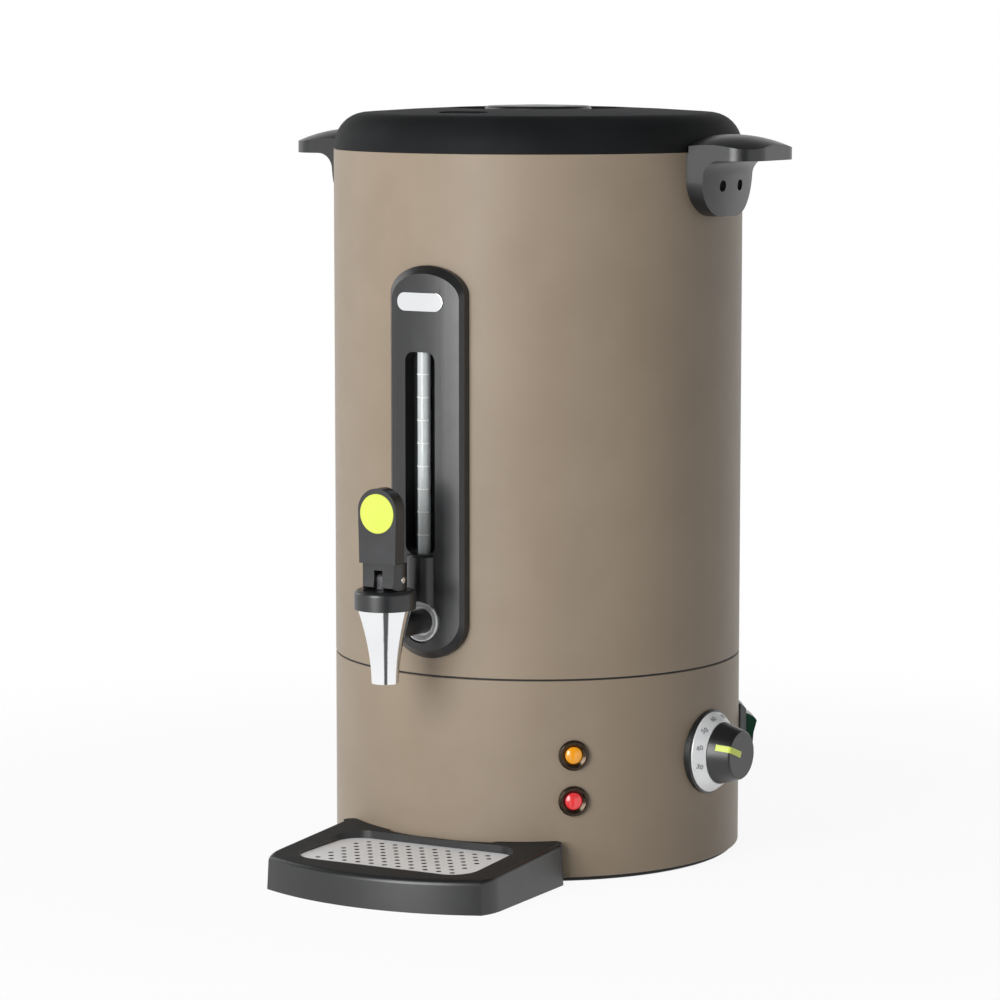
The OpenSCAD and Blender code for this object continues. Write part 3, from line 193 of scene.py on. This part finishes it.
def make_finish(name, color, shade, worn, wear, grain, depth, roughness, spread,
                stretch=(1, 1, 1), **shader):
    """A material with the shared grain, kept under its name. shader holds the other inputs
    of its Principled shader."""
    material = bpy.data.materials.new("finish_" + name)
    material.use_nodes = True
    nodes, link = material.node_tree.nodes, material.node_tree.links.new
    principled = next(n for n in nodes if n.type == "BSDF_PRINCIPLED").inputs
    surface = nodes.new("ShaderNodeGroup")
    surface.node_tree = grain_group
    for key, value in (("Color", color), ("Shade", shade), ("Worn", worn), ("Wear", wear),
                       ("Grain", grain), ("Depth", depth), ("Roughness", roughness),
                       ("Spread", spread), ("Stretch", stretch)):
        surface.inputs[key].default_value = value
    for key, socket in (("Color", "Base Color"), ("Roughness", "Roughness"),
                        ("Normal", "Normal")):
        link(surface.outputs[key], principled[socket])
    for key, value in shader.items():
        principled[key.replace("_", " ")].default_value = value
    FINISH[name] = material
    return material


make_finish("taupe_paint", srgb(154, 139, 121), srgb(150, 135, 117), srgb(172, 160, 144),
            wear=0.25, grain=2200, depth=0.16, roughness=0.44, spread=0.06,
            Specular_IOR_Level=0.30)

slot_of = {s["node"]: s["material_slot"] for s in frame["record"]["subparts"]}
body_of = {n: b for b, ns in frame["record"]["behaviour"]["bodies"].items() for n in ns}
CREASE_ANGLE = math.radians(40)


def corners(bm, angle):
    """The edges where two faces meet at more than an angle."""
    return [e for e in bm.edges if len(e.link_faces) == 2 and e.calc_face_angle(0) > angle]


def place(name, bm, node, finish=None, slot=None):
    """Makes the mesh an object that stands for a CAD node, with its finish and its body."""
    bmesh.ops.recalc_face_normals(bm, faces=bm.faces)
    for f in bm.faces:
        f.smooth = True
    for e in bm.edges:
        e.smooth = True
    for e in corners(bm, CREASE_ANGLE):
        e.smooth = False
    mesh = bpy.data.meshes.new(name)
    bm.to_mesh(mesh)
    bm.free()
    piece = bpy.data.objects.new(name, mesh)
    bpy.context.scene.collection.objects.link(piece)
    slot = slot or slot_of[node]
    mesh.materials.append(finish or FINISH[slot])
    piece.modifiers.new("even_shading", "WEIGHTED_NORMAL").keep_sharp = True
    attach(piece, body_of[node])
    return piece


BODY_R, SHEET, FLANGE_R = 0.138, 0.001, 0.126
BASE_Z, UPPER_Z = (0.003, 0.1334), (0.1346, 0.475)
BASE_EASE, UPPER_EASE = 0.0009, 0.0006
STRAIGHT_ANGLE = math.radians(14)
ROUND_STEPS, SPIN_STEPS = 4, 360
# A rounding takes up no more than this share of the line on either side of its corner
ROUND_SHARE = 0.45
# A face is upright while its normal rises or falls by less than this
UPRIGHT = 0.3

# Each opening's direction and half angle in degrees, and its lower and upper end
SWITCH_WINDOW = (126, 4.8, 0.0619, 0.0901)
GAUGE_WINDOW = (0, 5.8, 0.1909, 0.3661)


def shell_section(ends, window, upper_flange):
    """The half section of a shell as (radius, height), with points at its opening's ends."""
    (z0, z1), (low, high) = ends, window[2:]
    inside_r, inner_z0 = BODY_R - SHEET, z0 + SHEET
    outside = [(FLANGE_R, z0), (BODY_R, z0), (BODY_R, low), (BODY_R, high), (BODY_R, z1)]
    inside = [(inside_r, high), (inside_r, low), (inside_r, inner_z0), (FLANGE_R, inner_z0)]
    if upper_flange:
        under = z1 - SHEET
        return outside + [(FLANGE_R, z1), (FLANGE_R, under), (inside_r, under)] + inside
    return outside + [(inside_r, z1)] + inside


def eased(points, r):
    """The same closed half section with its corners rounded by about r."""
    out = []
    for i, p in enumerate(points):
        p = Vector(p)
        a, b = Vector(points[i - 1]) - p, Vector(points[(i + 1) % len(points)]) - p
        if a.angle(-b) < STRAIGHT_ANGLE:
            out.append(p)
            continue
        d = min(r, ROUND_SHARE * a.length, ROUND_SHARE * b.length)
        p0, p1 = p + a.normalized() * d, p + b.normalized() * d
        for k in range(ROUND_STEPS + 1):
            t = k / ROUND_STEPS
            out.append(p0 * (1 - t) ** 2 + p * (2 * t * (1 - t)) + p1 * t ** 2)
    return out


def in_window(f, azimuth, half, low, high):
    """Whether a face of a shell's wall lies in an opening."""
    middle = f.calc_center_median()
    toward = Vector((math.sin(math.radians(azimuth)), -math.cos(math.radians(azimuth))))
    return (low < middle.z < high and abs(f.normal.z) < UPRIGHT
            and middle.xy.normalized().dot(toward) > math.cos(math.radians(half)))


def turned_shell(name, node, section, ease, window):
    """A shell spun full round from its half section, with an opening through its wall."""
    bm = bmesh.new()
    verts = [bm.verts.new((r, 0, z)) for r, z in eased(section, ease)]
    edges = [bm.edges.new(ends) for ends in zip(verts, verts[1:] + verts[:1])]
    bmesh.ops.spin(bm, geom=verts + edges, axis=(0, 0, 1), cent=(0, 0, 0), dvec=(0, 0, 0),
                   angle=2 * math.pi, steps=SPIN_STEPS, use_merge=True)
    bmesh.ops.remove_doubles(bm, verts=bm.verts, dist=1e-7)
    opening = [f for f in bm.faces if in_window(f, *window)]
    bmesh.ops.delete(bm, geom=opening, context="FACES")
    bmesh.ops.bridge_loops(bm, edges=[e for e in bm.edges if e.is_boundary])
    piece = place(name, bm, node)
    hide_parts(node)


turned_shell("base_shell_wall", "base_shell", shell_section(BASE_Z, SWITCH_WINDOW, True),
             BASE_EASE, SWITCH_WINDOW)
turned_shell("upper_shell_wall", "outer_shell", shell_section(UPPER_Z, GAUGE_WINDOW, False),
             UPPER_EASE, GAUGE_WINDOW)

# ---------------------------------------------------------------- joint and foot ring
# A dark rubber ring fills the joint between the shells a little below their surface, and
# a ring of the same rubber under the base keeps the urn from sliding.

make_finish("black_rubber", srgb(26, 26, 27), srgb(20, 20, 21), srgb(60, 60, 60),
            wear=0.4, grain=900, depth=0.25, roughness=0.72, spread=0.12)

MERGE_DISTANCE = 3e-6
FLAT_ANGLE = math.radians(0.3)


def merged_solid(node):
    """A copy of a CAD node's mesh with its triangles joined and its flat faces merged."""
    bm = bmesh.new()
    bm.from_mesh(frame["nodes"][node].data)
    bmesh.ops.remove_doubles(bm, verts=bm.verts, dist=MERGE_DISTANCE)
    bmesh.ops.dissolve_limit(bm, angle_limit=FLAT_ANGLE, verts=bm.verts, edges=bm.edges)
    return bm


def ease_edges(bm, edges, offset, segments, clamp=True):
    """Rounds edges, so that light runs over them as over moulded or pressed corners."""
    bmesh.ops.bevel(bm, geom=edges, offset=offset, offset_type="OFFSET", segments=segments,
                    profile=0.5, affect="EDGES", clamp_overlap=clamp, material=-1)


def skin(node, ease, angle=28, segments=2, finish=None):
    """A smooth skin of a CAD node's own shape that replaces the node. Edges sharper than
    angle, in degrees, are eased."""
    bm = merged_solid(node)
    if ease:
        ease_edges(bm, corners(bm, math.radians(angle)), ease, segments)
    piece = place(node + "_skin", bm, node, finish)
    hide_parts(node)
    return piece


skin("seam_gasket", ease=0)
skin("foot_ring", ease=0.0003)

# ---------------------------------------------------------------- lid
# The lid is one moulding in matt black plastic with a finger well and a steam vent. Its
# round knob has the gloss of the urn's other black mouldings, and a screw holds it.

make_finish("black_plastic", srgb(25, 26, 28), srgb(21, 22, 24), srgb(70, 71, 74),
            wear=0.30, grain=1700, depth=0.08, roughness=0.33, spread=0.10,
            Specular_IOR_Level=0.72)
make_finish("matt_lid", srgb(25, 26, 28), srgb(21, 22, 23), srgb(64, 65, 67),
            wear=0.3, grain=1500, depth=0.10, roughness=0.62, spread=0.08,
            Specular_IOR_Level=0.12)

skin("lid_shell", ease=0.0008, finish=FINISH["matt_lid"])
skin("lid_knob", ease=0.0005)

# ---------------------------------------------------------------- handles
# Each handle is a solid moulding of the same plastic: a flat grip on a mounting plate that
# two sunk cross-head screws hold against a backing strip inside the shell.

make_finish("stainless", srgb(226, 227, 228), srgb(210, 212, 214), srgb(240, 240, 240),
            wear=0.2, grain=1500, depth=0.10, roughness=0.34, spread=0.16,
            stretch=(0.05, 1, 1), Metallic=1.0)

for node in ("handle_left", "handle_right"):
    skin(node, ease=0.0012, angle=30, segments=3)
skin("handle_screws", ease=0.0003)

# ---------------------------------------------------------------- front panel and gauge
# The panel is moulded black plastic with a bevelled border, a round cover over the tube's
# lower end, a blank silver badge and the window for the glass tube with its printed marks.
# Silicone sleeves seal the tube's ends.

make_finish("chrome", srgb(244, 245, 246), srgb(238, 240, 242), srgb(250, 250, 250),
            wear=0.1, grain=600, depth=0.01, roughness=0.07, spread=0.07, Metallic=1.0)
make_finish("clear_glass", srgb(244, 248, 248), srgb(238, 244, 244), srgb(255, 255, 255),
            wear=0.0, grain=200, depth=0.01, roughness=0.05, spread=0.03,
            Transmission_Weight=0.45, IOR=1.47)
make_finish("white_print", srgb(232, 232, 230), srgb(218, 218, 216), srgb(240, 240, 240),
            wear=0.1, grain=1500, depth=0.05, roughness=0.50, spread=0.10)
make_finish("silicone", srgb(216, 212, 200), srgb(200, 195, 182), srgb(232, 230, 222),
            wear=0.2, grain=700, depth=0.12, roughness=0.55, spread=0.12)

skin("front_panel", ease=0.0007, angle=24, segments=3)
skin("panel_badge", ease=0.0003)
skin("gauge_cap", ease=0.0004)
skin("gauge_elbow", ease=0.0004)
skin("gauge_tube", ease=0)

# ---------------------------------------------------------------- tap
# The tap is a polished chrome spout bell under a black collar, on a shank with a chrome
# cup against the panel. The black lever turns on a steel pin and carries a bare lime disc.

# The tap's chrome cup is drawn near-white and hardly metallic: its white is a painted
# reflection.
make_finish("cup_painted_reflection", srgb(244, 245, 246), srgb(226, 227, 229), srgb(250, 250, 250),
            wear=0.2, grain=500, depth=0.10, roughness=0.22, spread=0.12, Metallic=0.05)
# The lime plastic of the lever's disc and the dial's pointer glows faintly: painted light, as
# it is no lamp.
make_finish("lime_plastic", srgb(216, 229, 96), srgb(208, 222, 84), srgb(236, 244, 150),
            wear=0.2, grain=1300, depth=0.04, roughness=0.34, spread=0.08,
            Emission_Color=srgb(216, 229, 104), Emission_Strength=0.10)
# The valve stem's steel is drawn dark: painted shade in the eye of the lever's fork.
make_finish("steel_painted_shade", srgb(92, 92, 94), srgb(70, 70, 72), srgb(160, 160, 160),
            wear=0.5, grain=900, depth=0.10, roughness=0.42, spread=0.15, Metallic=1.0)

skin("tap_shank", ease=0.0003)
skin("tap_rosette", ease=0.0002, finish=FINISH["cup_painted_reflection"])
skin("tap_spout", ease=0.0003)
skin("tap_collar", ease=0.0003)
skin("tap_lever", ease=0.0009, angle=30, segments=3)
skin("lever_disc", ease=0.0003)
skin("lever_pin", ease=0.0002)
skin("valve_stem", ease=0.0002, finish=FINISH["steel_painted_shade"])

# ---------------------------------------------------------------- thermostat dial
# A black bezel carries a silver plastic scale ring with printed numerals from 30 to 110,
# all upright. The black knob has a lime pointer strip let into its face and side.

make_finish("silver_plastic", srgb(240, 241, 242), srgb(230, 231, 233), srgb(250, 250, 250),
            wear=0.25, grain=1400, depth=0.05, roughness=0.34, spread=0.10, Metallic=0.25)
make_finish("grey_print", srgb(126, 127, 130), srgb(116, 117, 120), srgb(150, 150, 152),
            wear=0.1, grain=1500, depth=0.04, roughness=0.5, spread=0.08)

skin("dial_bezel", ease=0.0003)
skin("dial_ring", ease=0.0002)
skin("dial_knob", ease=0.0006)

# The numerals' ring on the cone: its radius, its distance from the urn's axis, its slope
DIAL_AZ, DIAL_Z = math.radians(88), 0.076
SCALE_R, SCALE_OUT, CONE_FALL = 0.0242, 0.1446, math.radians(38.4)
NUMERALS, FIRST_NUMERAL, NUMERAL_STEP = 9, 30, 10
FIRST_TURN, TURN_STEP = 195, 30
NUMERAL_SIZE, PRINT_THICKNESS = 0.0047, 0.00006

dial_axis = Vector((math.sin(DIAL_AZ), -math.cos(DIAL_AZ), 0))
dial_side = Vector((math.cos(DIAL_AZ), math.sin(DIAL_AZ), 0))
scale_bm = bmesh.new()
for k in range(NUMERALS):
    numeral = bpy.data.curves.new("numeral", "FONT")
    numeral.body = str(FIRST_NUMERAL + NUMERAL_STEP * k)
    numeral.size, numeral.extrude, numeral.resolution_u = NUMERAL_SIZE, PRINT_THICKNESS, 3
    numeral.align_x, numeral.align_y = "CENTER", "CENTER"
    carrier = bpy.data.objects.new("numeral", numeral)
    bpy.context.scene.collection.objects.link(carrier)
    bpy.context.view_layer.update()
    shape = bpy.data.meshes.new_from_object(carrier.evaluated_get(
        bpy.context.evaluated_depsgraph_get()))
    bpy.data.objects.remove(carrier)
    before = set(scale_bm.verts)
    scale_bm.from_mesh(shape)
    bpy.data.meshes.remove(shape)
    turn = math.radians(FIRST_TURN - TURN_STEP * k)
    outward = dial_side * math.cos(turn) + upward * math.sin(turn)
    facing = outward * math.cos(CONE_FALL) + dial_axis * math.sin(CONE_FALL)
    along = (dial_side - facing * dial_side.dot(facing)).normalized()
    seat = Matrix((along, facing.cross(along), facing)).transposed().to_4x4()
    seat.translation = dial_axis * SCALE_OUT + upward * DIAL_Z + outward * SCALE_R
    bmesh.ops.transform(scale_bm, matrix=seat,
                        verts=[v for v in scale_bm.verts if v not in before])
place("dial_scale", scale_bm, "dial_ring", FINISH["grey_print"], "black_plastic")

# The strip is a little wider than its groove, so its lips lie on the knob
POINTER_TURN, STRIP_WIDENING = math.radians(21), 0.3
pointer = skin("knob_pointer", ease=0.0001)
strip_across = upward * math.cos(POINTER_TURN) + dial_side * math.sin(POINTER_TURN)
for v in pointer.data.vertices:
    v.co += strip_across * (v.co - upward * DIAL_Z).dot(strip_across) * STRIP_WIDENING

# ---------------------------------------------------------------- lamps and mains switch
# Two domed pilot lenses sit in dark reflecting bezels. The green rocker tips in a black
# housing inside a bevelled surround.

make_finish("dark_reflector", srgb(74, 62, 50), srgb(52, 44, 36), srgb(140, 122, 100),
            wear=0.5, grain=700, depth=0.04, roughness=0.18, spread=0.10, Metallic=0.8)
make_finish("amber_lens", srgb(244, 168, 40), srgb(220, 134, 16), srgb(255, 200, 90),
            wear=0.2, grain=420, depth=0.30, roughness=0.12, spread=0.06,
            Transmission_Weight=0.45, Coat_Weight=0.6,
            Emission_Color=srgb(244, 180, 20), Emission_Strength=0.26)
make_finish("red_lens", srgb(222, 58, 64), srgb(178, 24, 32), srgb(240, 90, 90),
            wear=0.2, grain=420, depth=0.30, roughness=0.12, spread=0.06,
            Transmission_Weight=0.45, Coat_Weight=0.6,
            Emission_Color=srgb(255, 84, 86), Emission_Strength=0.28)
make_finish("green_plastic", srgb(10, 84, 58), srgb(8, 66, 46), srgb(60, 140, 96),
            wear=0.3, grain=1200, depth=0.06, roughness=0.24, spread=0.08,
            Transmission_Weight=0.15)

for node in ("lamp_bezels", "amber_lens", "red_lens"):
    skin(node, ease=0.0002)
skin("switch_surround", ease=0.0006)
skin("switch_housing", ease=0.0003)
skin("switch_rocker", ease=0.0004)

# ---------------------------------------------------------------- cable gland
# The mains cord would leave the base at the back through a black plastic gland, which a
# nut inside the shell holds.

skin("cable_gland", ease=0.0004)

# ---------------------------------------------------------------- drip tray
# The tray is a black moulding that hugs the body, with its outer top edge drawn round. A
# stainless grid with drain holes lies on its ledge.

make_finish("grid_steel", srgb(246, 246, 247), srgb(238, 239, 240), srgb(250, 250, 250),
            wear=0.1, grain=1400, depth=0.06, roughness=0.50, spread=0.10,
            stretch=(0.05, 1, 1), Metallic=0.15)

tray_bm = merged_solid("drip_tray")
tray_low, tray_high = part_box("drip_tray")
tray_middle = (Vector(tray_low) + Vector(tray_high)) / 2
# Only edges that start in front of the tray's wings, which hug the body, are drawn round
TRAY_HUG_Y = -0.128
# Its outside walls stand at least this far out from its middle
TRAY_WALL_OUT = 0.03
TRAY_ROUND, TRAY_EASE = 0.0036, 0.0006
# A face is level and looks up while its normal rises by more than this
LEVEL = 0.95


def outside_wall(f):
    """Whether a face is upright and looks away from the tray's middle."""
    away = f.calc_center_median() - tray_middle
    return abs(f.normal.z) < UPRIGHT and f.normal.xy.dot(away.xy) > TRAY_WALL_OUT


def top_edge(e):
    """Whether an edge lies between the tray's top and its outside wall, clear of the body."""
    if len(e.link_faces) != 2:
        return False
    wall, top = sorted(e.link_faces, key=lambda f: f.normal.z)
    free = min(v.co.y for v in e.verts) < TRAY_HUG_Y
    return free and top.normal.z > LEVEL and outside_wall(wall)


ease_edges(tray_bm, [e for e in tray_bm.edges if top_edge(e)], TRAY_ROUND, segments=6,
           clamp=False)
ease_edges(tray_bm, corners(tray_bm, math.radians(30)), TRAY_EASE, segments=2)
tray = place("drip_tray_skin", tray_bm, "drip_tray")
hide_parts("drip_tray")
grid = skin("drip_grid", ease=0, finish=FINISH["grid_steel"])
# The tray's level faces get the duller rubber finish. The walls of the grid's holes get it
# too, so the holes show dark: painted shade.
for piece in (tray, grid):
    piece.data.materials.append(FINISH["black_rubber"])
for f in tray.data.polygons:
    f.material_index = int(f.normal.z > LEVEL)
for f in grid.data.polygons:
    f.material_index = int(abs(f.normal.z) < UPRIGHT)

# ---------------------------------------------------------------- parts inside
# The tank, the heating parts, the thermostat's body, the wires and the rest keep the CAD
# model's own meshes. They are steel, cast aluminium, brass tube and moulded plastic.

make_finish("aluminium", srgb(190, 192, 195), srgb(172, 174, 178), srgb(222, 222, 222),
            wear=0.3, grain=900, depth=0.20, roughness=0.38, spread=0.15, Metallic=1.0)
make_finish("brass", srgb(190, 158, 92), srgb(164, 132, 74), srgb(226, 200, 132),
            wear=0.3, grain=800, depth=0.12, roughness=0.30, spread=0.18, Metallic=1.0)
make_finish("pale_plastic", srgb(226, 220, 204), srgb(212, 204, 186), srgb(240, 238, 228),
            wear=0.2, grain=1200, depth=0.10, roughness=0.45, spread=0.10)
make_finish("red_plastic", srgb(178, 34, 28), srgb(150, 26, 22), srgb(220, 90, 80),
            wear=0.3, grain=1200, depth=0.08, roughness=0.38, spread=0.10)

# The solids that a skin stands in for get theirs too
for node, solid in frame["nodes"].items():
    solid.data.materials.clear()
    solid.data.materials.append(FINISH[slot_of[node]])

# ---------------------------------------------------------------- floor and light
# A plain pale floor and soft studio light: a large softbox at the left front, a soft one
# above, and two weak ones behind the urn, at its left and its right.

LAMP_AIM = Vector((0, 0, 0.22))


def lamp(name, at, size, power):
    """A rectangular softbox that points at the urn's lower half."""
    data = bpy.data.lights.new(name, "AREA")
    data.shape, data.size, data.size_y = "RECTANGLE", size[0], size[1]
    data.energy = power
    softbox = bpy.data.objects.new(name, data)
    softbox.location = at
    softbox.rotation_mode = "QUATERNION"
    softbox.rotation_quaternion = (LAMP_AIM - softbox.location).to_track_quat("-Z", "Y")
    bpy.context.scene.collection.objects.link(softbox)
    return softbox


lamp("key", at=-rightward * 1.25 - ahead * 1.75 + upward * 0.8, size=(1.0, 1.6), power=38)
above = lamp("top", at=-ahead * 0.2 + upward * 2.2, size=(1.6, 1.6), power=14)
above.visible_glossy = False
lamp("rim", at=ahead * 0.9 - rightward * 1.7 + upward * 1.1, size=(0.6, 1.4), power=5)
lamp("edge", at=ahead * 1.0 + rightward * 1.8 + upward * 0.7, size=(0.5, 1.4), power=1)

# The world is pale near the horizon, dim above and dim in a narrow band behind the camera,
# a little to its right. Metal and glass show it in full, other surfaces get a weaker part,
# and the camera sees it white.
DARK_AZIMUTH = (-ahead + rightward * 0.12).normalized()
OTHER_SHARE = 0.40

world = bpy.data.worlds.new("studio")
bpy.context.scene.world = world
world.use_nodes = True
sky_tree = world.node_tree
sky_tree.nodes.clear()
direction = add_node(sky_tree, "TexCoord").outputs["Generated"]
level = add_node(sky_tree, "VectorMath", "MULTIPLY")
level.inputs[1].default_value = (1, 1, 0)
unit = add_node(sky_tree, "VectorMath", "NORMALIZE")
across = add_node(sky_tree, "VectorMath", "DOT_PRODUCT")
across.inputs[1].default_value = DARK_AZIMUTH
parts = add_node(sky_tree, "SeparateXYZ")
sky_tree.links.new(direction, level.inputs[0])
sky_tree.links.new(level.outputs["Vector"], unit.inputs[0])
sky_tree.links.new(unit.outputs["Vector"], across.inputs[0])
sky_tree.links.new(direction, parts.inputs[0])
by_height = add_range(sky_tree, parts.outputs["Z"], low=0.22, high=0.62,
                      at_low=1.0, at_high=0.10, smooth=True)
by_azimuth = add_range(sky_tree, across.outputs["Value"], low=0.955, high=0.988,
                       at_low=1.0, at_high=0.08, smooth=True)
shown = add_math(sky_tree, "MULTIPLY", by_height, by_azimuth)
ray = add_node(sky_tree, "LightPath").outputs
mirrored = add_math(sky_tree, "MAXIMUM", ray["Is Glossy Ray"], ray["Is Transmission Ray"])
weaker = add_math(sky_tree, "MULTIPLY_ADD", mirrored, 1 - OTHER_SHARE, OTHER_SHARE)
strength = add_math(sky_tree, "MAXIMUM", add_math(sky_tree, "MULTIPLY", shown, weaker),
                    ray["Is Camera Ray"])
sky = add_node(sky_tree, "Background", Color=(1, 1, 1, 1))
sky_tree.links.new(strength, sky.inputs["Strength"])
sky_tree.links.new(sky.outputs["Background"],
                   add_node(sky_tree, "OutputWorld").inputs["Surface"])

floor_bm = bmesh.new()
bmesh.ops.create_grid(floor_bm, x_segments=8, y_segments=8, size=9)
floor_mesh = bpy.data.meshes.new("floor")
floor_bm.to_mesh(floor_mesh)
floor_bm.free()
floor = bpy.data.objects.new("floor", floor_mesh)
floor_finish = make_finish("floor", (0.88, 0.88, 0.88, 1), (0.87, 0.87, 0.87, 1),
                           (0.9, 0.9, 0.9, 1), wear=0.0, grain=300, depth=0.0,
                           roughness=0.9, spread=0.02, Specular_IOR_Level=0.1)
floor_mesh.materials.append(floor_finish)
bpy.context.scene.collection.objects.link(floor)

# For the camera the floor thins out, away from the urn, into the white behind it, and
# gloss hardly shows it
FADE_START, FADE_END = 0.30, 0.85
FADE_AT_URN, GLOSS_FADE = 0.92, 0.95

floor_tree = floor_finish.node_tree
reach = add_node(floor_tree, "VectorMath", "LENGTH")
floor_tree.links.new(add_node(floor_tree, "TexCoord").outputs["Object"], reach.inputs[0])
thin = add_range(floor_tree, reach.outputs["Value"], low=FADE_START, high=FADE_END,
                 at_low=FADE_AT_URN, smooth=True)
ray = add_node(floor_tree, "LightPath").outputs
gone = add_math(floor_tree, "MULTIPLY", thin, ray["Is Camera Ray"])
dulled = add_math(floor_tree, "MULTIPLY", ray["Is Glossy Ray"], GLOSS_FADE)
blend = add_node(floor_tree, "MixShader")
floor_nodes = {n.type: n for n in floor_tree.nodes}
for output, socket in (
    (add_math(floor_tree, "MAXIMUM", dulled, gone), blend.inputs["Fac"]),
    (floor_nodes["BSDF_PRINCIPLED"].outputs["BSDF"], blend.inputs[1]),
    (add_node(floor_tree, "BsdfTransparent").outputs["BSDF"], blend.inputs[2]),
    (blend.outputs["Shader"], floor_nodes["OUTPUT_MATERIAL"].inputs["Surface"]),
):
    floor_tree.links.new(output, socket)
